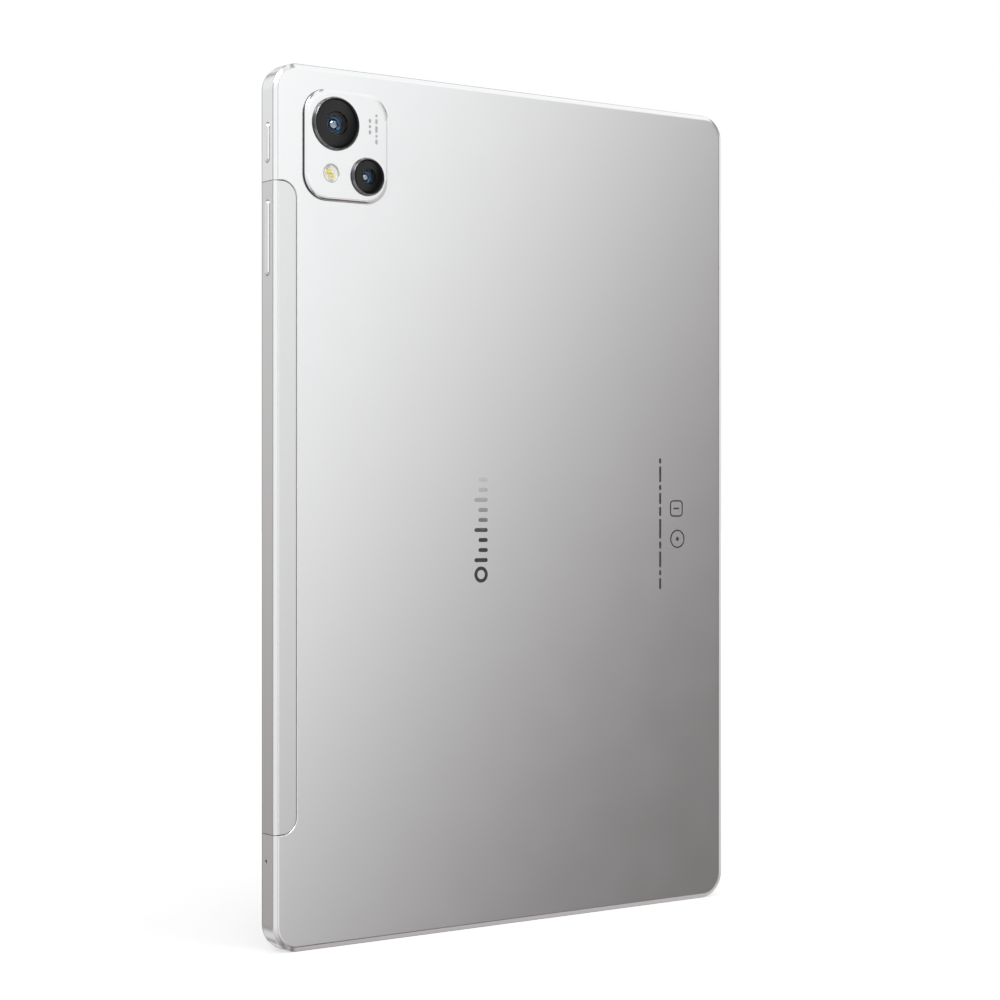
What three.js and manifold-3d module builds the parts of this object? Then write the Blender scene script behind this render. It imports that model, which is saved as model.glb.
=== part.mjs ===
// A 10-inch tablet computer, standing in portrait on its bottom short edge.
//
// Frame, in millimetres: X to the right as seen from the screen, Y from the screen towards the back,
// Z up along the long side. The origin is the middle of the bottom edge, half-way through the body.
// The keys and the antenna window are on the +X long side, the card tray on the -X long side and
// the charging socket in the bottom edge.
import * as THREE from "three";
import { mergeVertices } from "three/addons/utils/BufferGeometryUtils.js";
import Module from "manifold-3d";

const wasm = await Module();
wasm.setup();

// ---------------------------------------------------------------- driving dimensions

const WIDTH = 157.6;
const HEIGHT = 238.8;
const THICKNESS = 7.7;
const CORNER_RADIUS = 7.5;
const FRONT = -THICKNESS / 2; // outer face of the cover glass
const BACK = THICKNESS / 2; // outer face of the metal back
const SIDE = WIDTH / 2;

const WALL = 1.2; // side wall of the housing
const BACK_SKIN = 0.9;
const FLOOR = BACK - BACK_SKIN; // inner face of the metal back
const BACK_BEVEL = { across: 1.35, deep: 0.6 };
const RIM = { y: FRONT + 0.55, across: 0.45, chamfer: 0.55 };
const CORNER_STEPS = 8;
const SEAM = 0.1; // gap between the housing and the pieces let into it

const GLASS = { inset: 1.72, thickness: 0.7, edge: 0.25 };
const LEDGE_Y = -2.95; // the glass is taped down to this ledge of the display frame

const WINDOW = { across: 7.05, bottom: 31.8, top: HEIGHT - 31.8, radius: 4.5 };
const ISLAND = { x: 56.4, z: 217.6, width: 26.6, height: 30, radius: 7, rise: 0.9 };
const FLANGE = { outside: 1, band: 2.5, low: 2.6, high: 2.9 }; // holds the island under the skin
const ISLAND_TOP = BACK + ISLAND.rise;
const MAIN_LENS = { x: 60.1, z: 223.5, radius: 7.3 };
const SECOND_LENS = { x: 50.0, z: 209.9, radius: 5.25 };
const FLASH = { x: 61.5, z: 210.0, radius: 2.45 };
const RING = { rise: 1.0, lip: 0.55, recess: 0.45, spigot: 0.9, step: 0.4, wall: 0.7 };

const KEY_Y = 0.25; // middle of the flat side wall
const KEY = { width: 2.0, radius: 0.9, proud: 0.45, slack: 0.1, flange: 0.8 };
const POWER = { z: HEIGHT - 21.5, length: 10.6, flangeGap: 0.1 };
const VOLUME = { z: HEIGHT - 47.05, length: 20.1, flangeGap: 0.3, nub: 7 };
const SWITCH_TOP = 76.5;

const TRAY = { z: 212, y: 0.2, face: 15, thick: 1.9, depth: 28, carrier: 13.6, carrierThick: 0.9 };
const SMALL_CARD = { start: 1.9, length: 9, width: 12.5 };
const LARGE_CARD = { start: 11.9, length: 15.1, width: 11.1 };
const EJECT = { z: 222, pivotX: -48.2, pivotZ: 217.3 };
const MIC = { z: 24.5, y: -0.45, radius: 0.5 };

const BOARD = { y: 0.9, thickness: 0.8 };
const BOARD_BACK = BOARD.y + BOARD.thickness;
const USB = { width: 8.94, height: 3.16, wall: 0.25, mouth: 0.2, depth: 6.8 };
const CELL = { width: 60, bottom: 50, top: 170, front: -0.6, back: 2.62, gap: 2 };
const SPEAKER = { x: -38, width: 24, depth: 11, holes: 8, pitch: 2.1, holeRadius: 0.6 };
const SCREW = { headRadius: 1.4, head: 0.6, shankRadius: 0.62, shank: 1.6, holeRadius: 0.8 };
const BOARD_SCREWS = [
  [-69, 190.5],
  [36.5, 218.5],
];
const USB_SCREWS = [
  [-14, 19],
  [36, 19],
];

// ---------------------------------------------------------------- materials

function finish(colour, roughness, metalness) {
  return new THREE.MeshStandardMaterial({ color: colour, roughness, metalness });
}

const MATERIAL = {
  satinAluminium: finish(0xc4c5c7, 0.38, 0.9),
  polishedAluminium: finish(0xe6e7e9, 0.16, 1.0),
  silverPlastic: finish(0xbcbebf, 0.45, 0.1),
  blackPlastic: finish(0x17181a, 0.5, 0.0),
  darkRing: finish(0x55575a, 0.25, 0.9),
  coverGlass: finish(0x0a0b0d, 0.05, 0.0),
  lensGlass: finish(0x0b0c10, 0.05, 0.0),
  flashLens: finish(0xf2e6b4, 0.3, 0.0),
  display: finish(0x101216, 0.2, 0.0),
  lightGuide: finish(0xe8ecef, 0.3, 0.0),
  steel: finish(0xaeb1b5, 0.3, 1.0),
  board: finish(0x14523a, 0.5, 0.0),
  chip: finish(0x222326, 0.6, 0.0),
  cell: finish(0x3a3d42, 0.5, 0.2),
  tape: finish(0xd8d2c0, 0.8, 0.0),
  polyimide: finish(0xb0762a, 0.4, 0.0),
  graphite: finish(0x35373a, 0.6, 0.2),
  pad: finish(0x8d9db0, 0.9, 0.0),
};

// ---------------------------------------------------------------- solids

// Boolean work: a closed three.js geometry to a manifold solid and back.
function toSolid(geometry) {
  const bare = geometry.index ? geometry.toNonIndexed() : geometry.clone();
  bare.deleteAttribute("normal");
  bare.deleteAttribute("uv");
  const merged = mergeVertices(bare, 1e-4);
  return new wasm.Manifold(
    new wasm.Mesh({
      numProp: 3,
      vertProperties: merged.attributes.position.array,
      triVerts: new Uint32Array(merged.index.array),
    }),
  );
}

function toGeometry(solid) {
  const mesh = solid.getMesh();
  const geometry = new THREE.BufferGeometry();
  geometry.setAttribute("position", new THREE.BufferAttribute(mesh.vertProperties, 3));
  geometry.setIndex(new THREE.BufferAttribute(mesh.triVerts, 1));
  geometry.computeVertexNormals();
  return geometry;
}

function cut(base, ...tools) {
  return toGeometry(tools.reduce((solid, tool) => solid.subtract(toSolid(tool)), toSolid(base)));
}

function join(...pieces) {
  return toGeometry(pieces.map(toSolid).reduce((sum, solid) => sum.add(solid)));
}

function common(a, b) {
  return toGeometry(toSolid(a).intersect(toSolid(b)));
}

// ---------------------------------------------------------------- shapes

function box(x, y, z) {
  return new THREE.BoxGeometry(x[1] - x[0], y[1] - y[0], z[1] - z[0]).translate(
    (x[0] + x[1]) / 2,
    (y[0] + y[1]) / 2,
    (z[0] + z[1]) / 2,
  );
}

// A rounded rectangle as a closed row of points, four arcs of equal step count.
function roundedPoints(width, height, radius, steps = CORNER_STEPS) {
  const points = [];
  for (let corner = 0; corner < 4; corner++) {
    const right = corner === 0 || corner === 3 ? 1 : -1;
    const up = corner < 2 ? 1 : -1;
    for (let step = 0; step <= steps; step++) {
      const angle = ((corner + step / steps) * Math.PI) / 2;
      points.push(
        new THREE.Vector2(
          right * (width / 2 - radius) + radius * Math.cos(angle),
          up * (height / 2 - radius) + radius * Math.sin(angle),
        ),
      );
    }
  }
  return points;
}

// A flat outline in X and Z, given thickness from y[0] to y[1].
function plate(points, y, x = 0, z = 0) {
  return new THREE.ExtrudeGeometry(new THREE.Shape(points), {
    depth: y[1] - y[0],
    bevelEnabled: false,
    curveSegments: CORNER_STEPS,
  })
    .rotateX(Math.PI / 2)
    .translate(x, y[1], z);
}

function roundedPlate(width, height, radius, y, x, z, steps) {
  return plate(roundedPoints(width, height, radius, steps), y, x, z);
}

// An outline in Z and Y, given length from x[0] to x[1].
function bar(points, x, y = 0, z = 0) {
  return new THREE.ExtrudeGeometry(new THREE.Shape(points), {
    depth: x[1] - x[0],
    bevelEnabled: false,
  })
    .rotateY(-Math.PI / 2)
    .translate(x[1], y, z);
}

function disc(radius, y, x, z, sides = 24) {
  return new THREE.CylinderGeometry(radius, radius, y[1] - y[0], sides).translate(
    x,
    (y[0] + y[1]) / 2,
    z,
  );
}

// A short round hole or pin along Z.
function upright(radius, z, x, y, sides = 16) {
  return new THREE.CylinderGeometry(radius, radius, z[1] - z[0], sides)
    .rotateX(Math.PI / 2)
    .translate(x, y, (z[0] + z[1]) / 2);
}

// A short round hole or pin along X.
function crosswise(radius, x, y, z, sides = 16) {
  return new THREE.CylinderGeometry(radius, radius, x[1] - x[0], sides)
    .rotateZ(Math.PI / 2)
    .translate((x[0] + x[1]) / 2, y, z);
}

// The body's outline drawn in by each layer's inset, at that layer's y, outer faces running from
// the back towards the front. An open stack is capped at both ends; a closed one runs on from the
// last layer to the first and makes a frame.
function bodyStack(layers, closed = false) {
  const rings = layers.map(([inset, y]) =>
    roundedPoints(WIDTH - 2 * inset, HEIGHT - 2 * inset, CORNER_RADIUS - inset).map(
      (p) => [p.x, y, p.y + HEIGHT / 2],
    ),
  );
  const count = rings[0].length;
  const triangles = [];
  const quad = (a, b, c, d) => triangles.push(a, c, b, a, d, c);
  const last = closed ? rings.length : rings.length - 1;
  for (let i = 0; i < last; i++) {
    const here = rings[i];
    const next = rings[(i + 1) % rings.length];
    for (let k = 0; k < count; k++) {
      const n = (k + 1) % count;
      quad(here[k], next[k], next[n], here[n]);
    }
  }
  if (!closed) {
    const first = rings[0];
    const end = rings[rings.length - 1];
    for (let k = 1; k < count - 1; k++) {
      triangles.push(first[0], first[k + 1], first[k]);
      triangles.push(end[0], end[k], end[k + 1]);
    }
  }
  const geometry = new THREE.BufferGeometry();
  geometry.setAttribute("position", new THREE.Float32BufferAttribute(triangles.flat(), 3));
  return geometry;
}

function ringProfile(radiusAndHeight, x, z, sides = 32) {
  const profile = [...radiusAndHeight, radiusAndHeight[0]].map(([r, y]) => new THREE.Vector2(r, y));
  return new THREE.LatheGeometry(profile, sides).translate(x, 0, z);
}

// ---------------------------------------------------------------- the scene graph

const tablet = new THREE.Group();

function add(name, material, geometry, parent = tablet) {
  const mesh = new THREE.Mesh(geometry, material);
  mesh.name = name;
  parent.add(mesh);
  return mesh;
}

// ---------------------------------------------------------------- housing and antenna window

// The whole tray-shaped shell, before the window is parted from it.
function shell() {
  return bodyStack([
    [BACK_BEVEL.across, BACK],
    [0, BACK - BACK_BEVEL.deep],
    [0, RIM.y + RIM.chamfer],
    [RIM.across, RIM.y],
    [WALL, RIM.y],
    [WALL, FLOOR],
  ]);
}

// The block that parts the window from the shell, rounded at its two inner corners.
function windowBlock(gap) {
  const inner = SIDE - WINDOW.across + gap;
  const outer = SIDE + WINDOW.across;
  const width = outer - inner;
  const height = WINDOW.top - WINDOW.bottom - 2 * gap;
  return roundedPlate(
    width,
    height,
    WINDOW.radius - gap,
    [FRONT - 1, BACK + 1],
    (inner + outer) / 2,
    (WINDOW.top + WINDOW.bottom) / 2,
    6,
  );
}

function keySlot(key) {
  const slack = 2 * KEY.slack;
  const points = roundedPoints(key.length + slack, KEY.width + slack, KEY.radius + KEY.slack, 4);
  return bar(points, [SIDE - 2 * WALL, SIDE + 1], KEY_Y, key.z);
}

function trayCuts() {
  const slot = roundedPoints(TRAY.face + 2 * KEY.slack, TRAY.thick + 2 * KEY.slack, 0.9, 4);
  return [
    bar(slot, [-SIDE - 1, -SIDE + 2 * WALL], TRAY.y, TRAY.z),
    crosswise(0.45, [-SIDE - 1, -SIDE + 2 * WALL], TRAY.y, EJECT.z),
  ];
}

function usbCut() {
  const slack = 0.15;
  return plateAlongZ(
    roundedPoints(USB.width + 2 * slack, USB.height + 2 * slack, USB.height / 2, 6),
    [-1, 2 * WALL],
    0,
    KEY_Y,
  );
}

// An outline in X and Y, given height from z[0] to z[1].
function plateAlongZ(points, z, x, y) {
  return new THREE.ExtrudeGeometry(new THREE.Shape(points), {
    depth: z[1] - z[0],
    bevelEnabled: false,
  }).translate(x, y, z[0]);
}

function speakerHoles(z) {
  const holes = [];
  for (let i = 0; i < SPEAKER.holes; i++) {
    const x = SPEAKER.x + (i - (SPEAKER.holes - 1) / 2) * SPEAKER.pitch;
    holes.push(upright(SPEAKER.holeRadius, z, x, KEY_Y, 12));
  }
  return holes;
}

// The island's outline drawn out by grow, between two heights.
function islandPlate(grow, y) {
  return roundedPlate(
    ISLAND.width + 2 * grow,
    ISLAND.height + 2 * grow,
    ISLAND.radius + grow,
    y,
    ISLAND.x,
    ISLAND.z,
    6,
  );
}

// A post that a board is screwed to, standing on the inner face of the back.
function boss(x, z) {
  return disc(2, [BOARD_BACK + 0.05, FLOOR + 0.2], x, z, 16);
}

function bossHole(x, z) {
  return disc(SCREW.shankRadius + 0.1, [BOARD_BACK - 0.5, FLOOR + 0.3], x, z, 12);
}

const posts = [...BOARD_SCREWS, ...USB_SCREWS];
const bodyShell = join(shell(), ...posts.map(([x, z]) => boss(x, z)));
add(
  "rear_housing",
  MATERIAL.satinAluminium,
  cut(
    bodyShell,
    windowBlock(0),
    islandPlate(SEAM, [FLOOR - 1, BACK + 1]),
    keySlot(POWER),
    ...trayCuts(),
    usbCut(),
    crosswise(MIC.radius, [SIDE - 2 * WALL, SIDE + 1], MIC.y, MIC.z),
    ...speakerHoles([-1, 2 * WALL]),
    ...speakerHoles([HEIGHT - 2 * WALL, HEIGHT + 1]),
    ...posts.map(([x, z]) => bossHole(x, z)),
  ),
);
add(
  "antenna_window",
  MATERIAL.silverPlastic,
  cut(common(shell(), windowBlock(SEAM)), keySlot(VOLUME)),
);

// ---------------------------------------------------------------- display

add(
  "display_frame",
  MATERIAL.blackPlastic,
  bodyStack(
    [
      [0.5, RIM.y - 0.05],
      [0.5, -3.5],
      [0.65, -3.6],
      [GLASS.inset - 0.07, -3.6],
      [GLASS.inset - 0.07, LEDGE_Y],
      [3.4, LEDGE_Y],
      [3.4, -2.3],
      [2.2, -2.3],
      [2.2, -1.8],
      [WALL + 0.05, -1.8],
      [WALL + 0.05, RIM.y - 0.05],
    ],
    true,
  ),
);
add(
  "front_glass",
  MATERIAL.coverGlass,
  bodyStack([
    [GLASS.inset, FRONT + GLASS.thickness],
    [GLASS.inset, FRONT + GLASS.edge],
    [GLASS.inset + 0.1, FRONT + 0.08],
    [GLASS.inset + GLASS.edge, FRONT],
  ]),
);
add(
  "glass_adhesive",
  MATERIAL.tape,
  bodyStack(
    [
      [1.9, LEDGE_Y - 0.03],
      [1.9, FRONT + GLASS.thickness + 0.03],
      [3.3, FRONT + GLASS.thickness + 0.03],
      [3.3, LEDGE_Y - 0.03],
    ],
    true,
  ),
);

// The display module: panel and light guide in a shallow steel tray, centred behind the glass.
const MODULE = { width: 142, height: 224.4, wall: 0.3, front: -2.95, floor: -1.35, back: -1.15 };
const middle = HEIGHT / 2;
add(
  "lcd_panel",
  MATERIAL.display,
  roundedPlate(MODULE.width - 0.8, MODULE.height - 0.8, 1, [-3.08, -2.0], 0, middle, 3),
);
add(
  "light_guide",
  MATERIAL.lightGuide,
  roundedPlate(MODULE.width - 1.4, MODULE.height - 1.4, 1, [-1.95, -1.42], 0, middle, 3),
);
add(
  "backlight_tray",
  MATERIAL.steel,
  cut(
    roundedPlate(MODULE.width, MODULE.height, 1.5, [MODULE.front, MODULE.back], 0, middle, 3),
    roundedPlate(
      MODULE.width - 2 * MODULE.wall,
      MODULE.height - 2 * MODULE.wall,
      1.2,
      [MODULE.front - 1, MODULE.floor],
      0,
      middle,
      3,
    ),
  ),
);

// A thin strip whose side view is given as [z, y] centre points, with its own width in X.
function ribbon(route, thickness, x) {
  const front = route.map(([z, y]) => new THREE.Vector2(z, y - thickness / 2));
  const back = route.map(([z, y]) => new THREE.Vector2(z, y + thickness / 2)).reverse();
  return bar([...front, ...back], x);
}

add(
  "display_flex",
  MATERIAL.polyimide,
  ribbon([[176, -0.95], [184, -0.95], [187.5, 0.5], [199, 0.5]], 0.16, [8, 34]),
);

// ---------------------------------------------------------------- rear cameras and flash

// The raised plate, its top edge bevelled in two flats.
function islandTop() {
  const layers = [
    [0, FLOOR + 0.2],
    [0, ISLAND_TOP - 0.45],
    [0.25, ISLAND_TOP - 0.12],
    [0.6, ISLAND_TOP],
  ];
  const slabs = layers.slice(1).map(([inset, y], i) => slabBetween(...layers[i], inset, y));
  return join(...slabs);
}

// A slab of the island between two of its layers, drawn in from one to the next.
function slabBetween(lowInset, lowY, highInset, highY) {
  const overlap = 0.01;
  const low = roundedPoints(
    ISLAND.width - 2 * lowInset,
    ISLAND.height - 2 * lowInset,
    ISLAND.radius - lowInset,
    6,
  );
  const slab = plate(low, [lowY - (lowInset ? overlap : 0), highY], ISLAND.x, ISLAND.z);
  const position = slab.attributes.position;
  const across = 1 - (2 * (highInset - lowInset)) / (ISLAND.width - 2 * lowInset);
  const along = 1 - (2 * (highInset - lowInset)) / (ISLAND.height - 2 * lowInset);
  for (let i = 0; i < position.count; i++) {
    if (position.getY(i) > highY - 1e-4) {
      position.setX(i, ISLAND.x + (position.getX(i) - ISLAND.x) * across);
      position.setZ(i, ISLAND.z + (position.getZ(i) - ISLAND.z) * along);
    }
  }
  return slab;
}

function islandBody() {
  const inner = FLANGE.band - FLANGE.outside;
  const flange = cut(
    islandPlate(FLANGE.outside, [FLANGE.low, FLANGE.high]),
    islandPlate(-inner, [FLANGE.low - 1, FLANGE.high + 1]),
  );
  const web = cut(
    islandPlate(0, [FLANGE.high - 0.05, FLOOR + 0.3]),
    islandPlate(-inner, [FLANGE.low - 1, FLOOR + 1]),
  );
  return cut(
    join(flange, web, islandTop()),
    disc(MAIN_LENS.radius - RING.step + SEAM, [FLOOR, 8], MAIN_LENS.x, MAIN_LENS.z, 32),
    disc(SECOND_LENS.radius - RING.step + SEAM, [FLOOR, 8], SECOND_LENS.x, SECOND_LENS.z, 32),
    disc(FLASH.radius + 0.05, [0, 8], FLASH.x, FLASH.z, 24),
  );
}
add("camera_island", MATERIAL.satinAluminium, islandBody());

// A turned ring that holds a lens glass: a collar on the island with a spigot through it.
function lensRing(lens) {
  const base = ISLAND_TOP + 0.03;
  const top = ISLAND_TOP + RING.rise;
  const seat = top - RING.recess - 0.6;
  const r = lens.radius;
  return ringProfile(
    [
      [r - 2.0, ISLAND_TOP - RING.spigot],
      [r - RING.step, ISLAND_TOP - RING.spigot],
      [r - RING.step, base],
      [r, base],
      [r, top - 0.3],
      [r - 0.25, top],
      [r - RING.lip, top],
      [r - RING.wall, top - 0.25],
      [r - RING.wall, seat],
      [r - 2.0, seat],
    ],
    lens.x,
    lens.z,
  );
}

function lensGlass(lens) {
  const top = ISLAND_TOP + RING.rise - RING.recess;
  return disc(lens.radius - RING.wall - 0.07, [top - 0.55, top], lens.x, lens.z, 32);
}

add("main_lens_ring", MATERIAL.darkRing, lensRing(MAIN_LENS));
add("main_lens_glass", MATERIAL.lensGlass, lensGlass(MAIN_LENS));
add("second_lens_ring", MATERIAL.darkRing, lensRing(SECOND_LENS));
add("second_lens_glass", MATERIAL.lensGlass, lensGlass(SECOND_LENS));
add(
  "flash_lens",
  MATERIAL.flashLens,
  ringlessLens(FLASH.radius - 0.03, ISLAND_TOP - 1.1, ISLAND_TOP - 0.02, FLASH.x, FLASH.z),
);
add(
  "flash_led",
  MATERIAL.lightGuide,
  join(
    box([FLASH.x - 1.7, FLASH.x + 1.7], [2.7, 3.3], [FLASH.z - 1.7, FLASH.z + 1.7]),
    box([FLASH.x - 2.2, FLASH.x + 2.2], [2.45, 2.75], [FLASH.z - 2.2, FLASH.z + 2.2]),
  ),
);

// A plain round window with a small bevel at its outer edge.
function ringlessLens(radius, low, high, x, z) {
  return new THREE.LatheGeometry(
    [
      new THREE.Vector2(0, low),
      new THREE.Vector2(radius, low),
      new THREE.Vector2(radius, high - 0.15),
      new THREE.Vector2(radius - 0.15, high),
      new THREE.Vector2(0, high),
    ],
    24,
  ).translate(x, 0, z);
}

const BARREL = { radius: 3.0, bore: 3.1, low: 0.9, high: 4.15 };
add(
  "main_camera_holder",
  MATERIAL.blackPlastic,
  cut(
    join(
      box(
        [MAIN_LENS.x - 4.5, MAIN_LENS.x + 4.5],
        [-0.9, 2.6],
        [MAIN_LENS.z - 4.5, MAIN_LENS.z + 4.5],
      ),
      disc(3.9, [2.5, 3.7], MAIN_LENS.x, MAIN_LENS.z, 24),
    ),
    disc(BARREL.bore, [BARREL.low - 0.3, 5], MAIN_LENS.x, MAIN_LENS.z, 24),
  ),
);
const focus = new THREE.Group();
focus.position.set(MAIN_LENS.x, BARREL.low, MAIN_LENS.z);
tablet.add(focus);
add(
  "main_lens_barrel",
  MATERIAL.chip,
  new THREE.LatheGeometry(
    [
      new THREE.Vector2(0, 0),
      new THREE.Vector2(BARREL.radius, 0),
      new THREE.Vector2(BARREL.radius, BARREL.high - BARREL.low),
      new THREE.Vector2(2.1, BARREL.high - BARREL.low),
      new THREE.Vector2(1.6, BARREL.high - BARREL.low - 0.5),
      new THREE.Vector2(0, BARREL.high - BARREL.low - 0.25),
    ],
    24,
  ),
  focus,
);
add(
  "second_camera",
  MATERIAL.blackPlastic,
  join(
    box(
      [SECOND_LENS.x - 3.25, SECOND_LENS.x + 3.25],
      [-0.2, 2.4],
      [SECOND_LENS.z - 3.25, SECOND_LENS.z + 3.25],
    ),
    disc(2.3, [2.3, 4.1], SECOND_LENS.x, SECOND_LENS.z, 24),
  ),
);
add(
  "camera_flex",
  MATERIAL.polyimide,
  join(
    box([37, 57.5], [-1.08, -0.94], [220.5, 226.5]),
    box([37, 37.2], [-1.08, 0.8], [220.5, 222.8]),
  ),
);

const FRONT_CAMERA = { x: 73.2, z: HEIGHT / 2, radius: 1.55 };
add(
  "front_camera",
  MATERIAL.blackPlastic,
  join(
    box([70.3, 76.1], [-1.05, 1.6], [FRONT_CAMERA.z - 3, FRONT_CAMERA.z + 3]),
    disc(FRONT_CAMERA.radius, [-3.08, -1], FRONT_CAMERA.x, FRONT_CAMERA.z, 20),
  ),
);

// ---------------------------------------------------------------- side keys

// A key's cap through the wall, with the flange that keeps it in and the nubs that press its switches.
function sideKey(key, nubs) {
  const inside = -WALL - key.flangeGap;
  const cap = roundedPoints(key.length, KEY.width, KEY.radius, 4);
  const flange = roundedPoints(key.length + 2 * KEY.flange, KEY.width + 2 * KEY.flange, 0.6, 2);
  return join(
    bar(cap, [inside - 0.2, KEY.proud]),
    bar(flange, [inside - 0.45, inside]),
    ...nubs.map((z) => crosswise(0.7, [inside - 0.6, inside - 0.3], 0, z, 12)),
  );
}

const powerKey = new THREE.Group();
powerKey.position.set(SIDE, KEY_Y, POWER.z);
const volumeKey = new THREE.Group();
volumeKey.position.set(SIDE, KEY_Y, VOLUME.z);
tablet.add(powerKey, volumeKey);
add("power_button", MATERIAL.satinAluminium, sideKey(POWER, [0]), powerKey);
add(
  "volume_rocker",
  MATERIAL.satinAluminium,
  sideKey(VOLUME, [-VOLUME.nub, VOLUME.nub]),
  volumeKey,
);

const FLEX_X = [75.9, 76.05];
function keySwitch(z) {
  return join(
    box([FLEX_X[1] + 0.03, SWITCH_TOP - 0.12], [KEY_Y - 1.1, KEY_Y + 1.1], [z - 1.6, z + 1.6]),
    crosswise(0.8, [SWITCH_TOP - 0.2, SWITCH_TOP], KEY_Y, z, 12),
  );
}
add("power_switch", MATERIAL.steel, keySwitch(POWER.z));
add("volume_up_switch", MATERIAL.steel, keySwitch(VOLUME.z + VOLUME.nub));
add("volume_down_switch", MATERIAL.steel, keySwitch(VOLUME.z - VOLUME.nub));
add(
  "key_flex",
  MATERIAL.polyimide,
  join(
    box(FLEX_X, [-0.95, 1.45], [180, 222]),
    box([36, FLEX_X[1]], [0.62, 0.77], [197, 200]),
  ),
);
add(
  "key_bracket",
  MATERIAL.steel,
  cut(
    box([75.1, 75.75], [-0.95, 1.6], [179, 223]),
    box([70, 80], [0.4, 1.0], [196.5, 200.5]),
    crosswise(0.7, [70, 80], KEY_Y, 206, 12),
  ),
);

// ---------------------------------------------------------------- boards and chips

// A small connector or component standing on a board's front or back side.
function onFront(x, z, width, height, tall) {
  return box([x, x + width], [BOARD.y - tall, BOARD.y + 0.05], [z, z + height]);
}
function onBack(x, z, width, height, tall) {
  return box([x, x + width], [BOARD_BACK - 0.05, BOARD_BACK + tall], [z, z + height]);
}
function screwHole([x, z]) {
  return disc(SCREW.holeRadius, [BOARD.y - 1, BOARD_BACK + 1], x, z, 12);
}

function mainBoard() {
  const outline = [
    [-73, 186],
    [40, 186],
    [40, 223],
    [-18, 223],
    [-18, 219],
    [-73, 219],
  ].map(([x, z]) => new THREE.Vector2(x, z));
  const parts = [
    onBack(-68, 205, 9, 3, 0.8),
    onBack(-56, 192, 12, 4, 1.0),
    onBack(-38, 194, 5, 5, 0.7),
    onBack(-30, 192, 4, 8, 0.9),
    onFront(-44, 188, 10, 2.4, 0.8),
    onFront(-10, 204, 8, 5, 0.7),
  ];
  for (let i = 0; i < 6; i++) parts.push(onBack(-48 + 3.2 * i, 208, 1.6, 0.9, 0.5));
  return cut(
    join(plate(outline, [BOARD.y, BOARD_BACK]), ...parts),
    ...BOARD_SCREWS.map(screwHole),
  );
}
add("main_board", MATERIAL.board, mainBoard());

const CHIP_BASE = BOARD_BACK + 0.03;
const PROCESSOR = { x: -10, z: 204, size: 13 };
function chip(x, z, width, height, tall) {
  return roundedPlate(width, height, 0.4, [CHIP_BASE, CHIP_BASE + tall], x, z, 2);
}
add("processor_chip", MATERIAL.chip, chip(PROCESSOR.x, PROCESSOR.z, PROCESSOR.size, 13, 0.55));
add("memory_chip", MATERIAL.chip, chip(8, 204, 11.5, 13, 0.7));
add("power_chip", MATERIAL.chip, chip(30, 206, 7, 7, 0.6));
add(
  "thermal_pad",
  MATERIAL.pad,
  roundedPlate(12, 12, 0.5, [CHIP_BASE + 0.58, 2.53], PROCESSOR.x, PROCESSOR.z, 2),
);

// A pressed can over the chips, open towards the board.
function shieldCan(x, z) {
  const metal = 0.2;
  const top = 2.78;
  return cut(
    box(x, [CHIP_BASE, top], z),
    box([x[0] + metal, x[1] - metal], [0, top - metal], [z[0] + metal, z[1] - metal]),
  );
}
add("processor_shield", MATERIAL.steel, shieldCan([-20, 17], [190, 214]));
add("radio_shield", MATERIAL.steel, shieldCan([22, 38], [198, 214]));
add("graphite_sheet", MATERIAL.graphite, box([-24, 32], [2.82, 2.9], [188, 216]));

add(
  "usb_board",
  MATERIAL.board,
  cut(
    join(
      box([-18, 40], [BOARD.y, BOARD_BACK], [7.3, 22]),
      onFront(-10, 17.5, 10, 2.4, 0.8),
      onBack(8, 12, 5, 5, 0.7),
      onBack(18, 14, 3, 2, 0.6),
      onBack(24, 10, 2, 4, 0.6),
    ),
    ...USB_SCREWS.map(screwHole),
  ),
);

const usbZ = [USB.mouth, USB.mouth + USB.depth];
const usbOuter = roundedPoints(USB.width, USB.height, USB.height / 2 - 0.01, 6);
const usbInner = roundedPoints(
  USB.width - 2 * USB.wall,
  USB.height - 2 * USB.wall,
  USB.height / 2 - USB.wall - 0.01,
  6,
);
add(
  "usb_shell",
  MATERIAL.steel,
  cut(
    plateAlongZ(usbOuter, usbZ, 0, KEY_Y),
    plateAlongZ(usbInner, [usbZ[0] - 1, usbZ[1] + 1], 0, KEY_Y),
  ),
);
add(
  "usb_tongue",
  MATERIAL.blackPlastic,
  join(
    plateAlongZ(roundedPoints(6.7, 0.7, 0.3, 2), [1.0, usbZ[1] - 0.9], 0, KEY_Y),
    plateAlongZ(roundedPoints(8.0, 2.4, 1.15, 4), [usbZ[1] - 1, usbZ[1]], 0, KEY_Y),
  ),
);
add(
  "ribbon_cable",
  MATERIAL.polyimide,
  ribbon(
    [
      [18, -0.05],
      [21, -0.05],
      [24, -0.85],
      [183, -0.85],
      [186.5, -0.05],
      [190, -0.05],
    ],
    0.16,
    [-9.5, -0.5],
  ),
);

// ---------------------------------------------------------------- battery

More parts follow.
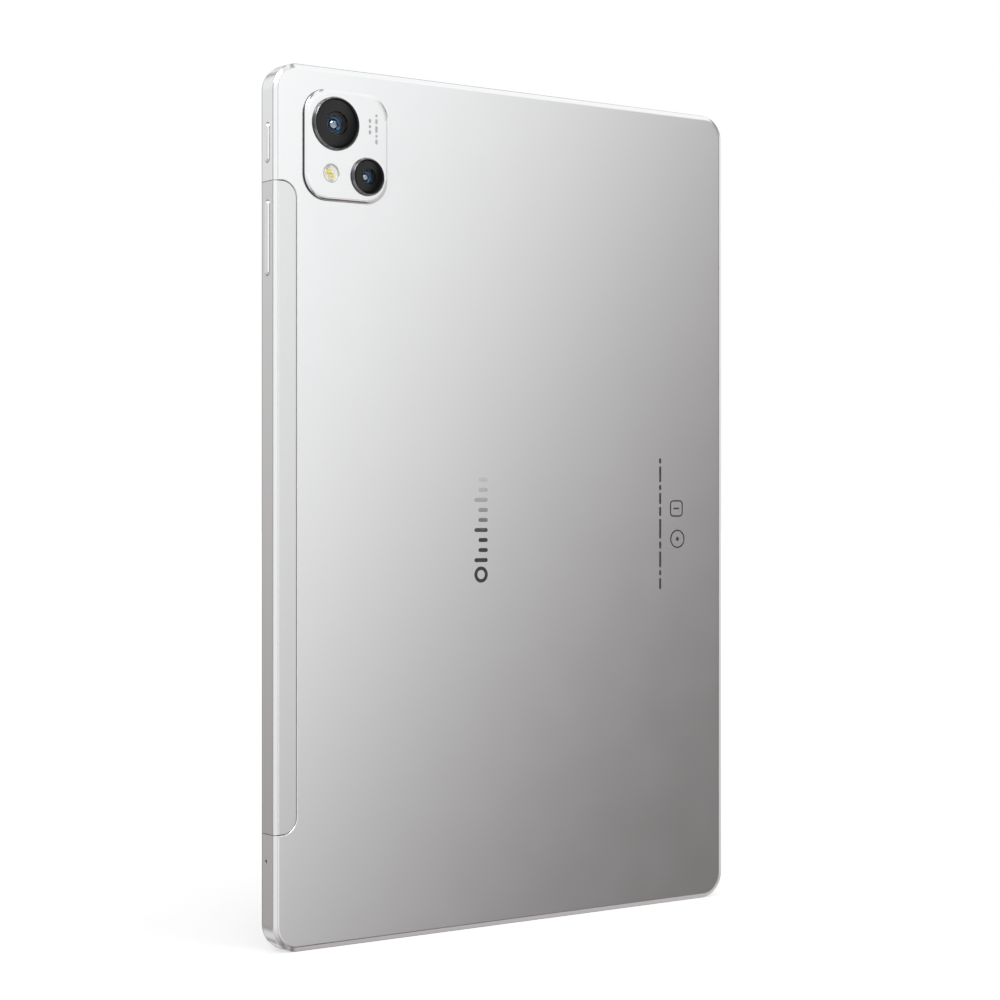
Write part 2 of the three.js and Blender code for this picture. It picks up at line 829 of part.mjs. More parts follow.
const cellSides = { left: -1, right: 1 };
for (const [side, sign] of Object.entries(cellSides)) {
  const x = sign * (CELL.gap / 2 + CELL.width / 2 + 0.5);
  const z = (CELL.bottom + CELL.top) / 2;
  const height = CELL.top - CELL.bottom;
  add(
    "battery_cell_" + side,
    MATERIAL.cell,
    roundedPlate(CELL.width, height, 1.5, [CELL.front, CELL.back], x, z, 3),
  );
  add(
    "battery_tape_" + side,
    MATERIAL.tape,
    roundedPlate(CELL.width - 12, height - 14, 2, [CELL.back + 0.05, FLOOR - 0.06], x, z, 3),
  );
}
add(
  "battery_board",
  MATERIAL.board,
  join(
    box([-30, 30], [1.0, 1.8], [170.5, 176]),
    box([-8, 8], [0.2, 1.1], [171.5, 175]),
    box([-24, -12], [0.2, 1.1], [171.5, 175]),
  ),
);
add(
  "battery_lead",
  MATERIAL.polyimide,
  ribbon([[173, 1.95], [180, 1.95], [184, 2.2], [189.5, 2.2]], 0.2, [-52, -25]),
);

// ---------------------------------------------------------------- card tray and its ejector

const carrierInner = -SIDE + TRAY.depth;
function cardPocket(card) {
  const start = -SIDE + card.start;
  return box([start, start + card.length], [-1, 1], [-card.width / 2, card.width / 2]);
}
function traySolid() {
  const half = TRAY.carrierThick / 2;
  const face = roundedPoints(TRAY.face, TRAY.thick, 0.8, 4);
  return cut(
    join(
      bar(face, [-SIDE, -SIDE + WALL]),
      box([-SIDE + 0.5, carrierInner], [-half, half], [-TRAY.carrier / 2, TRAY.carrier / 2]),
    ),
    cardPocket(SMALL_CARD),
    cardPocket(LARGE_CARD),
  );
}
const tray = new THREE.Group();
tray.position.set(0, TRAY.y, TRAY.z);
tablet.add(tray);
add("sim_tray", MATERIAL.satinAluminium, traySolid(), tray);

const socketX = [-74, carrierInner - 1];
const channel = { y: [TRAY.y - 0.6, TRAY.y + 0.57], z: [TRAY.z - 7, TRAY.z + 7] };
add(
  "sim_socket",
  MATERIAL.steel,
  cut(
    box(socketX, [channel.y[0] - 0.2, BOARD.y - 0.03], [channel.z[0] - 0.3, channel.z[1] + 0.3]),
    box([-80, -40], channel.y, channel.z),
    box([-70, -63], [-2, channel.y[0] + 0.1], [TRAY.z - 3, TRAY.z + 3]),
    box([-61, -54], [-2, channel.y[0] + 0.1], [TRAY.z - 3, TRAY.z + 3]),
  ),
);
const rod = new THREE.Group();
rod.position.set(-SIDE + WALL + 0.2, TRAY.y, EJECT.z);
const lever = new THREE.Group();
lever.position.set(EJECT.pivotX, TRAY.y, EJECT.pivotZ);
tablet.add(rod, lever);
const rodLength = EJECT.pivotX - 1.05 - rod.position.x;
add("eject_rod", MATERIAL.steel, box([0, rodLength], [-0.4, 0.4], [-0.4, 0.4]), rod);
add(
  "eject_lever",
  MATERIAL.steel,
  join(
    bar(roundedPoints(11.8, 0.5, 0.2, 1), [-0.8, 0.8], 0, -0.5),
    disc(0.7, [-0.5, BOARD.y - TRAY.y - 0.05], 0, 0, 12),
  ),
  lever,
);

// ---------------------------------------------------------------- sound, antennas and screws

const speakerX = [SPEAKER.x - SPEAKER.width / 2, SPEAKER.x + SPEAKER.width / 2];
function speaker(z, mouthZ) {
  return cut(
    join(
      box(speakerX, [-0.85, 2.7], z),
      box([speakerX[0] + 2, speakerX[1] - 2], [-0.65, 1.15], [mouthZ[0], mouthZ[1]]),
    ),
    disc(3.6, [2.3, 3], SPEAKER.x, (z[0] + z[1]) / 2, 24),
  );
}
const inner = WALL + 0.15;
add("speaker_bottom", MATERIAL.blackPlastic, speaker([2.6, 2.6 + SPEAKER.depth], [inner, 2.8]));
add(
  "speaker_top",
  MATERIAL.blackPlastic,
  speaker(
    [HEIGHT - 2.6 - SPEAKER.depth, HEIGHT - 2.6],
    [HEIGHT - 2.8, HEIGHT - inner],
  ),
);
add(
  "microphone",
  MATERIAL.steel,
  cut(
    join(
      box([75.9, 77.2], [MIC.y - 0.85, MIC.y + 1.6], [MIC.z - 1.8, MIC.z + 1.8]),
      crosswise(0.8, [77, SIDE - WALL - 0.05], MIC.y, MIC.z, 16),
    ),
    crosswise(0.35, [76.6, 78], MIC.y, MIC.z, 12),
  ),
);

const antennaX = [72.6, 77.2];
const antennaY = [FLOOR - 0.2, FLOOR - 0.06];
add(
  "wifi_antenna",
  MATERIAL.polyimide,
  cut(box(antennaX, antennaY, [42, 88]), box([73.8, 75.4], [0, 4], [50, 80])),
);
add(
  "mobile_antenna",
  MATERIAL.polyimide,
  cut(box(antennaX, antennaY, [126, 176]), box([73.8, 75.4], [0, 4], [134, 170])),
);
const cableRoute = new THREE.CatmullRomCurve3(
  [
    [73.4, 2.2, 84],
    [71, 2.15, 88],
    [68, 1.9, 95],
    [67.4, 1.8, 106],
    [67.4, 1.8, 135],
    [67.4, 1.8, 165],
    [66.4, 1.9, 179],
    [60, 2.1, 187],
    [50, 2.25, 190.5],
    [38, 2.28, 192],
  ].map((p) => new THREE.Vector3(...p)),
);
const cableSection = new THREE.Shape(
  new THREE.Path().absarc(0, 0, 0.4, 0, 2 * Math.PI).getPoints(4).slice(0, -1),
);
add(
  "antenna_cable",
  MATERIAL.chip,
  new THREE.ExtrudeGeometry(cableSection, {
    steps: 40,
    extrudePath: cableRoute,
    bevelEnabled: false,
  }),
);

function screw() {
  return join(
    disc(SCREW.headRadius, [-SCREW.head, 0], 0, 0, 16),
    disc(SCREW.shankRadius, [-0.1, SCREW.shank], 0, 0, 12),
  );
}
const screwSets = { board_screw: BOARD_SCREWS, usb_board_screw: USB_SCREWS };
for (const [name, places] of Object.entries(screwSets)) {
  places.forEach(([x, z], i) => {
    add(name + "_" + (i + 1), MATERIAL.steel, screw()).position.set(x, BOARD.y - 0.03, z);
  });
}

export default tablet;
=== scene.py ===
"""The looks of a 10-inch tablet computer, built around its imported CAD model.

Shapes are worked out in millimetres in the CAD's own frame: +Z up along the long side, +Y out of the
metal back, +X towards the side with the keys. They turn to metres when a mesh is made.
"""
import math

import bmesh
import bpy
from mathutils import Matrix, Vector


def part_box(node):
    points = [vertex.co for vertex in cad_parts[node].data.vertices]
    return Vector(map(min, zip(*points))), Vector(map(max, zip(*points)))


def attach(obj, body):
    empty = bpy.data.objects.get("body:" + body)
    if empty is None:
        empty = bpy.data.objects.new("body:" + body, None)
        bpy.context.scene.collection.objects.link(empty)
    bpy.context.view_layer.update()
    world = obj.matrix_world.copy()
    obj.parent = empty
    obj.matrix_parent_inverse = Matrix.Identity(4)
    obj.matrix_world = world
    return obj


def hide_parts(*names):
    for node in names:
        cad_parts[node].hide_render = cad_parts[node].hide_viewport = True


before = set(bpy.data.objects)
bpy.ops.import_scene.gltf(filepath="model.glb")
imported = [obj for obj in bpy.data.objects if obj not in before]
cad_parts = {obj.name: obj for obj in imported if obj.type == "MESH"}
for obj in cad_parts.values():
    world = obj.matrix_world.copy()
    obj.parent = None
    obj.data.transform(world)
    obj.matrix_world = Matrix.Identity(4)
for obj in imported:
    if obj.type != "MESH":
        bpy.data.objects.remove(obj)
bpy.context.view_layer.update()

MM = 0.001


def box_mm(node):
    low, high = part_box(node)
    return low / MM, high / MM


# ------------------------ sizes, from the CAD

housing_high = box_mm("rear_housing")[1]
glass_low, glass_high = box_mm("front_glass")
SIDE = housing_high.x
HEIGHT = housing_high.z
BACK = housing_high.y
FRONT = glass_low.y
MIDDLE = HEIGHT / 2
CORNER_RADIUS = 7.5
BEVEL_ACROSS = 1.35
BEVEL_DEEP = 0.6
WALL = 1.2
FLOOR = BACK - 0.9
RIM_Y = FRONT + 0.55
RIM_ACROSS = 0.45
KEY_Y = 0.25
SEAM = 0.1
SEAM_SHOWN = SEAM + 0.05

WINDOW = {"across": 7.05, "radius": 4.5}
window_low, window_high = box_mm("antenna_window")
island_low, island_high = box_mm("camera_island")
ISLAND_TOP = island_high.y


# ------------------------ node helpers


class Nodes:
    """A small helper that adds shader nodes and joins them."""

    def __init__(self, tree):
        self.tree = tree
        self.tree.nodes.clear()

    def add(self, kind, inputs=None, **settings):
        made = self.tree.nodes.new("ShaderNode" + kind)
        for key, value in settings.items():
            setattr(made, key, value)
        for key, value in (inputs or {}).items():
            socket = made.inputs[key]
            if isinstance(value, bpy.types.NodeSocket):
                self.tree.links.new(value, socket)
            else:
                socket.default_value = value
        return made

    def math(self, operation, a, b=0.0, c=0.0, clamp=False):
        return self.add("Math", {0: a, 1: b, 2: c}, operation=operation, use_clamp=clamp).outputs[0]

    def coords(self):
        """The surface point in millimetres."""
        point = self.add("TexCoord").outputs["Object"]
        return self.add("VectorMath", {0: point, 3: 1 / MM}, operation="SCALE").outputs[0]

    def axes(self, vector):
        split = self.add("SeparateXYZ", {0: vector})
        return split.outputs[0], split.outputs[1], split.outputs[2]

    def noise(self, vector, size, detail=2.0, roughness=0.5):
        """Smooth noise whose lumps are about size millimetres across."""
        settings = {"Vector": vector, "Scale": 1 / size, "Detail": detail, "Roughness": roughness}
        return self.add("TexNoise", settings).outputs["Fac"]

    def span(self, value, low, high, to_low=0.0, to_high=1.0, smooth=False):
        settings = {"Value": value, "From Min": low, "From Max": high, "To Min": to_low, "To Max": to_high}
        kind = "SMOOTHSTEP" if smooth else "LINEAR"
        return self.add("MapRange", settings, interpolation_type=kind).outputs["Result"]

    def mix(self, factor, a, b):
        made = self.add("Mix", {0: factor}, data_type="RGBA")
        for socket, value in ((made.inputs[6], a), (made.inputs[7], b)):
            if isinstance(value, bpy.types.NodeSocket):
                self.tree.links.new(value, socket)
            else:
                socket.default_value = (*value, 1.0)
        return made.outputs[2]

    def length(self, a, b):
        """The length of the vector (a, b)."""
        squares = self.math("ADD", self.math("MULTIPLY", a, a), self.math("MULTIPLY", b, b))
        return self.math("SQRT", squares)

    def distance(self, x, z, centre):
        """The distance of (x, z) from centre."""
        return self.length(self.math("SUBTRACT", x, centre[0]), self.math("SUBTRACT", z, centre[1]))

    def bump(self, height, depth):
        """A bump whose height runs over depth millimetres."""
        made = self.add("Bump", {"Height": height, "Strength": 1.0, "Distance": depth * MM})
        return made.outputs["Normal"]

    def surface(self, **sockets):
        """A Principled shader with the named sockets set, linked to the output."""
        inputs = {name.replace("_", " "): value for name, value in sockets.items()}
        if "Base Color" in inputs and isinstance(inputs["Base Color"], tuple):
            inputs["Base Color"] = (*inputs["Base Color"], 1.0)
        shader = self.add("BsdfPrincipled", inputs)
        self.add("OutputMaterial", {"Surface": shader.outputs[0]})
        return shader


def material(name):
    made = bpy.data.materials.new(name)
    made.use_nodes = True
    return made, Nodes(made.node_tree)


# ------------------------ materials


def metal(name, colour, roughness, grain=0.0012, spread=0.04, cloud=0.03):
    """Blasted or polished metal: a fine grain in the surface and a faint cloudiness in its gloss."""
    made, n = material(name)
    at = n.coords()
    fine = n.noise(at, 0.09, detail=3.0, roughness=0.7)
    large = n.noise(at, 14.0, detail=3.0)
    gloss = n.math("ADD", n.span(large, 0.3, 0.7, roughness - spread / 2, roughness + spread / 2),
                   n.span(fine, 0.3, 0.7, -spread / 4, spread / 4))
    darker = tuple(c * (1 - cloud) for c in colour)
    tone = n.mix(n.span(n.noise(at, 0.25, detail=2.0), 0.35, 0.65), darker, colour)
    n.surface(Base_Color=tone, Metallic=1.0, Roughness=gloss, Normal=n.bump(fine, grain))
    return made


def plastic(name, colour, roughness, grain=0.004, size=0.12, variation=0.12, metallic=0.0):
    """Moulded plastic: a fine texture and a little unevenness in colour and gloss."""
    made, n = material(name)
    at = n.coords()
    fine = n.noise(at, size, detail=2.0, roughness=0.6)
    large = n.noise(at, 9.0, detail=3.0)
    darker = tuple(c * (1 - variation) for c in colour)
    tone = n.mix(n.span(large, 0.3, 0.7), darker, colour)
    gloss = n.span(n.noise(at, 2.5, detail=3.0), 0.3, 0.7, roughness - 0.04, roughness + 0.04)
    n.surface(Base_Color=tone, Metallic=metallic, Roughness=gloss, Normal=n.bump(fine, grain))
    return made


def turned_metal(name, colour, roughness, centre):
    """Metal with the fine concentric marks of a lathe about centre, in X and Z."""
    made, n = material(name)
    x, y, z = n.axes(n.coords())
    radius = n.distance(x, z, centre)
    line = n.add("CombineXYZ", {0: radius, 1: y}).outputs[0]
    marks = n.noise(line, 0.02, detail=2.0, roughness=0.8)
    tone = n.mix(n.span(marks, 0.3, 0.7), tuple(c * 0.85 for c in colour), colour)
    gloss = n.span(marks, 0.3, 0.7, roughness - 0.05, roughness + 0.08)
    n.surface(Base_Color=tone, Metallic=1.0, Roughness=gloss, Normal=n.bump(marks, 0.0008))
    return made


def screen_glass():
    """Cover glass over a black printed border, a dark screen and the small windows in the border."""
    made, n = material("screen_glass")
    at = n.coords()
    x, _, z = n.axes(at)
    half_width, half_height, corner = 67.8, 108.5, 1.5
    across = n.math("SUBTRACT", n.math("ABSOLUTE", x), half_width - corner)
    along = n.math("SUBTRACT", n.math("ABSOLUTE", n.math("SUBTRACT", z, MIDDLE)), half_height - corner)
    a = n.math("MAXIMUM", across, 0.0)
    b = n.math("MAXIMUM", along, 0.0)
    inside = n.span(n.length(a, b), corner - 0.03, corner + 0.03, 1.0, 0.0)
    screen = n.mix(n.span(n.noise(at, 40.0), 0.3, 0.7), (0.0100, 0.0108, 0.0125), (0.0122, 0.0130, 0.0150))
    tone = n.mix(inside, (0.0022, 0.0022, 0.0025), screen)
    # The front camera's window: a dark ring, a grey stop and a blue-black lens.
    low, high = box_mm("front_camera")
    camera_x, camera_z, sensor_above = 73.2, (low.z + high.z) / 2, 8.0
    reach = n.distance(x, z, (camera_x, camera_z))
    for inner, outer, colour in (
        (1.72, 1.78, (0.010, 0.010, 0.011)),
        (1.35, 1.40, (0.003, 0.003, 0.004)),
        (0.90, 0.95, (0.030, 0.031, 0.035)),
        (0.55, 0.65, (0.006, 0.009, 0.024)),
    ):
        tone = n.mix(n.span(reach, inner, outer, 1.0, 0.0), tone, colour)
    # The light sensor's small window, above the camera.
    spot = n.distance(x, z, (camera_x, camera_z + sensor_above))
    tone = n.mix(n.span(spot, 0.75, 0.8, 1.0, 0.0), tone, (0.012, 0.008, 0.012))
    smudge = n.noise(at, 22.0, detail=6.0, roughness=0.6)
    gloss = n.span(smudge, 0.35, 0.75, 0.03, 0.09)
    n.surface(Base_Color=tone, Roughness=gloss, IOR=1.5, Normal=n.bump(n.noise(at, 18.0), 0.0015))
    return made


def clear(name, tint, ior):
    """Clear glass or plastic, with the faintest unevenness in its polish."""
    made, n = material(name)
    gloss = n.span(n.noise(n.coords(), 0.8), 0.3, 0.7, 0.0, 0.02)
    n.surface(Base_Color=tint, Roughness=gloss, IOR=ior, Transmission_Weight=1.0)
    return made


def coated_lens(name, tint, strength):
    """A dark glass element with the coloured reflection of its coating."""
    made, n = material(name)
    smooth = n.span(n.noise(n.coords(), 0.5), 0.3, 0.7, 0.01, 0.04)
    shader = n.surface(Base_Color=(0.001, 0.003, 0.010), Roughness=smooth, IOR=2.6)
    shader.inputs["Specular Tint"].default_value = (*tint, 1.0)
    shader.inputs["Specular IOR Level"].default_value = strength
    return made


def black_glass(name, centre):
    """Glass printed black on its back, with the faintest rings from its polishing."""
    made, n = material(name + "_black_glass")
    x, _, z = n.axes(n.coords())
    radius = n.distance(x, z, centre)
    rings = n.noise(n.add("CombineXYZ", {0: radius}).outputs[0], 0.5, detail=2.0)
    tone = n.mix(n.span(rings, 0.3, 0.7), (0.002, 0.002, 0.0025), (0.010, 0.010, 0.011))
    gloss = n.span(rings, 0.3, 0.7, 0.03, 0.09)
    shader = n.surface(Base_Color=tone, Roughness=gloss)
    shader.inputs["IOR"].default_value = 1.38
    return made


def circuit_board():
    """Green solder mask with fine copper tracks under it and bright pads."""
    made, n = material("circuit_board")
    at = n.coords()
    tracks = n.add("TexVoronoi", {"Vector": at, "Scale": 0.7}, feature="DISTANCE_TO_EDGE").outputs[0]
    on_track = n.span(tracks, 0.04, 0.07, 1.0, 0.0)
    grid = n.add("TexVoronoi", {"Vector": at, "Scale": 1.4}, distance="CHEBYCHEV").outputs["Distance"]
    pad = n.span(grid, 0.13, 0.16, 1.0, 0.0)
    mask = n.mix(n.span(n.noise(at, 3.0), 0.3, 0.7), (0.012, 0.060, 0.034), (0.016, 0.078, 0.044))
    tone = n.mix(on_track, mask, (0.030, 0.130, 0.070))
    tone = n.mix(pad, tone, (0.62, 0.50, 0.26))
    height = n.math("ADD", n.math("MULTIPLY", on_track, 0.5), pad)
    gloss = n.span(n.noise(at, 1.0), 0.3, 0.7, 0.28, 0.4)
    n.surface(Base_Color=tone, Metallic=pad, Roughness=gloss, Normal=n.bump(height, 0.03))
    return made


def amber_film():
    """Polyimide flex with copper lines running under it."""
    made, n = material("amber_film")
    at = n.coords()
    x, y, _ = n.axes(at)
    stripes = n.math("SINE", n.math("MULTIPLY", n.math("ADD", x, y), 2 * math.pi / 0.5))
    line = n.span(stripes, 0.0, 0.3)
    film = n.mix(n.span(n.noise(at, 4.0), 0.3, 0.7), (0.25, 0.09, 0.012), (0.33, 0.13, 0.02))
    tone = n.mix(line, film, (0.55, 0.24, 0.05))
    gloss = n.span(n.noise(at, 1.5), 0.3, 0.7, 0.25, 0.38)
    n.surface(Base_Color=tone, Roughness=gloss, Normal=n.bump(line, 0.008))
    return made


def cell_pouch():
    """Dark laminated foil, slightly creased."""
    made, n = material("cell_pouch")
    at = n.coords()
    crease = n.noise(at, 7.0, detail=5.0, roughness=0.65)
    tone = n.mix(n.span(crease, 0.3, 0.7), (0.035, 0.036, 0.040), (0.055, 0.056, 0.062))
    gloss = n.span(n.noise(at, 1.2, detail=4.0), 0.3, 0.7, 0.34, 0.5)
    n.surface(Base_Color=tone, Metallic=0.35, Roughness=gloss, Normal=n.bump(crease, 0.12))
    return made


def edge_with_painted_shade():
    """The upright edge of the camera plate: pale and dull, with painted shade that turns it dark and
    metallic towards the keys.
    """
    made, n = material("plate_edge_painted_shade")
    at = n.coords()
    x = n.axes(at)[0]
    # Painted shade: pale up to x = 58 mm, turning dark and more metallic towards the keys by x = 68 mm.
    tone = n.mix(n.span(x, 58.0, 68.0), (0.85, 0.85, 0.86), (0.12, 0.12, 0.125))
    fine = n.noise(at, 0.09, detail=3.0)
    gloss = n.span(fine, 0.3, 0.7, 0.38, 0.44)
    painted_shade_metallic = n.span(x, 58.0, 68.0, 0.3, 1.0)
    n.surface(Base_Color=tone, Metallic=painted_shade_metallic, Roughness=gloss, Normal=n.bump(fine, 0.0008))
    return made


def ink_with_painted_reflection():
    """Dark ink with a painted reflection that turns it to bright metal towards the top of the mark."""
    made, n = material("ink_with_painted_reflection")
    at = n.coords()
    z = n.axes(at)[2]
    # Painted reflection: the share of bright metal grows towards the top of the mark.
    up = n.span(z, 112.0, 128.0)
    wear_and_painted_fade_edge = n.span(n.noise(at, 0.6, detail=3.0), 0.3, 0.7, -0.04, 0.04)
    share = n.math("ADD", up, wear_and_painted_fade_edge, clamp=True)
    tone = n.mix(share, (0.030, 0.031, 0.034), (0.80, 0.80, 0.81))
    gloss = n.span(n.noise(at, 0.3), 0.3, 0.7, 0.28, 0.36)
    n.surface(Base_Color=tone, Metallic=share, Roughness=gloss, Normal=n.bump(wear_and_painted_fade_edge, 0.002))
    return made


SATIN = metal("satin_aluminium", (0.920, 0.920, 0.925), 0.24, spread=0.012, cloud=0.02)
POLISHED = metal("polished_aluminium", (0.95, 0.95, 0.955), 0.13, grain=0.0004, spread=0.03, cloud=0.01)
SILVER_PAINT = metal("silver_paint", (0.87, 0.875, 0.87), 0.30, spread=0.012, cloud=0.03)
# A darker copy of the window's silver paint for its side wall: painted shade.
SILVER_PAINT_PAINTED_SHADE = metal("silver_paint_side_painted_shade", (0.79, 0.795, 0.79), 0.30, spread=0.012, cloud=0.03)
SILVER_PAINT_EDGE = metal("silver_paint_edge", (0.95, 0.95, 0.955), 0.17, grain=0.001, cloud=0.02)
BLACK_PLASTIC = plastic("black_plastic", (0.014, 0.014, 0.016), 0.42)
STEEL = metal("pressed_steel", (0.60, 0.60, 0.615), 0.28, grain=0.003, cloud=0.08)
DARK_STEEL = metal("dark_steel", (0.20, 0.20, 0.21), 0.34, grain=0.002)
# Dark metal for the cut edge round the screen: painted shade that draws the dark outline along the
# silhouette.
RIM_PAINTED_SHADE = metal("dark_edge", (0.16, 0.16, 0.165), 0.2, grain=0.0006, spread=0.02)
# The plate's upright edge, with painted shade towards the keys.
PLATE_EDGE_PAINTED_SHADE = edge_with_painted_shade()
GOLD = metal("gold_contacts", (0.95, 0.70, 0.32), 0.22, grain=0.001)
MARK_INK = plastic("mark_ink", (0.050, 0.050, 0.052), 0.38, grain=0.001, size=0.05)
MARK_GREY = plastic("mark_grey", (0.50, 0.50, 0.51), 0.4, grain=0.001, size=0.05)
# Ink with a painted reflection: dark at the bottom, bright metal towards the top.
MARK_PAINTED_REFLECTION = ink_with_painted_reflection()
CHIP_BLACK = plastic("chip_black", (0.020, 0.020, 0.022), 0.55, grain=0.01, size=0.08)
TAPE = plastic("adhesive_tape", (0.72, 0.68, 0.58), 0.7, grain=0.02, size=0.4)
LIGHT_SHEET = plastic("light_sheet", (0.86, 0.88, 0.89), 0.3, grain=0.002, size=0.3, variation=0.04)
GRAPHITE = plastic("graphite_film", (0.045, 0.046, 0.050), 0.45, grain=0.01, size=0.5, metallic=0.4)
PAD = plastic("thermal_pad", (0.30, 0.36, 0.46), 0.85, grain=0.03, size=0.3)
BOARD = circuit_board()
FILM = amber_film()
POUCH = cell_pouch()
SCREEN = screen_glass()
PANEL = plastic("display_panel", (0.010, 0.011, 0.014), 0.12, grain=0.0005, size=0.2)
COVER = clear("lens_cover_glass", (0.96, 0.97, 0.98), 1.2)
BAFFLE = plastic("lens_baffle", (0.006, 0.006, 0.007), 0.35, grain=0.002, size=0.05)
ELEMENT = coated_lens("lens_element", (0.74, 0.87, 1.0), 1.0)
ELEMENT_BOWL = coated_lens("lens_element_bowl", (0.12, 0.48, 1.0), 0.6)
PHOSPHOR = plastic("flash_phosphor", (1.0, 0.86, 0.20), 0.6, grain=0.01, size=0.1)
REFLECTOR = plastic("flash_reflector", (0.97, 0.97, 0.95), 0.3, grain=0.001, size=0.2, variation=0.02)
FLASH_CLEAR = clear("flash_window", (1.0, 1.0, 0.99), 1.4)


# ------------------------ mesh helpers


def arc(centre, radius, start, end, steps):
    """Points along an arc, angles in degrees."""
    points = []
    for step in range(steps + 1):
        angle = math.radians(start + (end - start) * step / steps)
        points.append((centre[0] + radius * math.cos(angle), centre[1] + radius * math.sin(angle)))
    return points


def rounded(width, height, radius, steps):
    """A rounded rectangle about the origin, counter-clockwise."""
    w, h = width / 2 - radius, height / 2 - radius
    points = arc((w, h), radius, 0, 90, steps)
    points += arc((-w, h), radius, 90, 180, steps)
    points += arc((-w, -h), radius, 180, 270, steps)
    points += arc((w, -h), radius, 270, 360, steps)
    return points


def softened(profile, radius, steps=3, closed=False):
    """The profile with each of its corners rounded off."""
    count = len(profile)
    points = []
    for i, here in enumerate(profile):
        if not closed and i in (0, count - 1):
            points.append(here)
            continue
        p, before, after = Vector(here), Vector(profile[i - 1]), Vector(profile[(i + 1) % count])
        reach = min(radius, (before - p).length * 0.45, (after - p).length * 0.45)
        a = p + (before - p).normalized() * reach
        b = p + (after - p).normalized() * reach
        for step in range(steps + 1):
            t = step / steps
            q = a * (1 - t) ** 2 + p * 2 * t * (1 - t) + b * t ** 2
            points.append((q.x, q.y))
    return points


def loft(rings, loop=False):
    """A closed solid through rings of equal length: capped at both ends, or run round in a loop."""
    bm = bmesh.new()
    rows = [[bm.verts.new(p) for p in ring] for ring in rings]
    count = len(rows[0])
    pairs = list(zip(rows, rows[1:]))
    if loop:
        pairs.append((rows[-1], rows[0]))
    for here, there in pairs:
        for k in range(count):
            n = (k + 1) % count
            bm.faces.new((here[k], here[n], there[n], there[k]))
    if not loop:
        bm.faces.new(rows[0])
        bm.faces.new(rows[-1])
    bmesh.ops.remove_doubles(bm, verts=bm.verts, dist=1e-5)
    bmesh.ops.recalc_face_normals(bm, faces=bm.faces)
    return bm


def lathe(profile, centre, sides=96, loop=True):
    """The (radius, y) profile turned about a Y axis through centre, in X and Z."""
    rings = []
    for r, y in profile:
        ring = []
        for k in range(sides):
            angle = 2 * math.pi * k / sides
            ring.append((centre[0] + r * math.cos(angle), y, centre[1] + r * math.sin(angle)))
        rings.append(ring)
    return loft(rings, loop)


def disc(profile, centre, sides=96, loop=False):
    """A turned solid closed by a tiny cap at its axis, or with loop left with a hair-thin bore there."""
    return lathe([(max(r, 0.02), y) for r, y in profile], centre, sides, loop)


def block(low, high):
    bm = bmesh.new()
    bmesh.ops.create_cube(bm, size=1.0)
    for v in bm.verts:
        v.co = Vector([low[i] if v.co[i] < 0 else high[i] for i in range(3)])
    return bm


def joined(parts):
    """Several meshes as one."""
    total = bmesh.new()
    for part in parts:
        scratch = bpy.data.meshes.new("scratch")
        part.to_mesh(scratch)
        part.free()
        total.from_mesh(scratch)
        bpy.data.meshes.remove(scratch)
    return total


def raw_object(name, bm, materials=()):
    """A mesh made in millimetres, as an object in metres."""
    bmesh.ops.scale(bm, vec=(MM, MM, MM), verts=bm.verts)
    mesh = bpy.data.meshes.new(name)
    bm.to_mesh(mesh)
    bm.free()
    made = bpy.data.objects.new(name, mesh)
    bpy.context.scene.collection.objects.link(made)
    for item in materials:
        mesh.materials.append(item)
    return made


def apply_modifiers(obj):
    depsgraph = bpy.context.evaluated_depsgraph_get()
    baked = bpy.data.meshes.new_from_object(obj.evaluated_get(depsgraph))
    obj.modifiers.clear()
    obj.data = baked


def boolean(obj, cutters, operation="DIFFERENCE"):
    """obj cut by, or kept inside, the cutters, which are used up."""
    tools = [raw_object("cutter", bm) for bm in cutters]
    for tool in tools:
        step = obj.modifiers.new("cut", "BOOLEAN")
        step.operation = operation
        step.solver = "EXACT"
        step.object = tool
    apply_modifiers(obj)
    for tool in tools:
        bpy.data.objects.remove(tool)


def shade(obj, angle=32):
    """Smooth shading that keeps edges sharper than angle, with flat faces kept flat."""
    mesh = obj.data
    mesh.polygons.foreach_set("use_smooth", [True] * len(mesh.polygons))
    mesh.set_sharp_from_angle(angle=math.radians(angle))
    weighted = obj.modifiers.new("weighted", "WEIGHTED_NORMAL")
    weighted.keep_sharp = True
    weighted.weight = 90


def piece(name, bm, materials, body="body", replaces=(), angle=32):
    made = raw_object(name, bm, materials)
    shade(made, angle)
    settle(made, body, replaces)
    return made


def settle(made, body, replaces):
    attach(made, body)
    if replaces:
        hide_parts(*replaces)


def paint_faces(obj, index, test):
    """Gives the faces whose centre (in millimetres) and normal pass the test another material."""
    for face in obj.data.polygons:
        if test(face.center / MM, face.normal):
            face.material_index = index


# ------------------------ housing and antenna window


def body_ring(inset, y):
    outline = rounded(2 * (SIDE - inset), HEIGHT - 2 * inset, CORNER_RADIUS - inset, 28)
    return [(x, y, z + MIDDLE) for x, z in outline]


def shell():
    """The whole tray-shaped casing, before the window is parted from it."""
    outside = softened([
        (BEVEL_ACROSS + 3, BACK),
        (BEVEL_ACROSS, BACK),
        (0, BACK - BEVEL_DEEP),
        (0, RIM_Y + 0.55),
        (RIM_ACROSS, RIM_Y),
        (WALL, RIM_Y),
    ], 0.3, 5)
    inside = [(WALL, FLOOR - 0.6), (WALL + 0.6, FLOOR)]
    return loft([body_ring(inset, y) for inset, y in outside + inside])


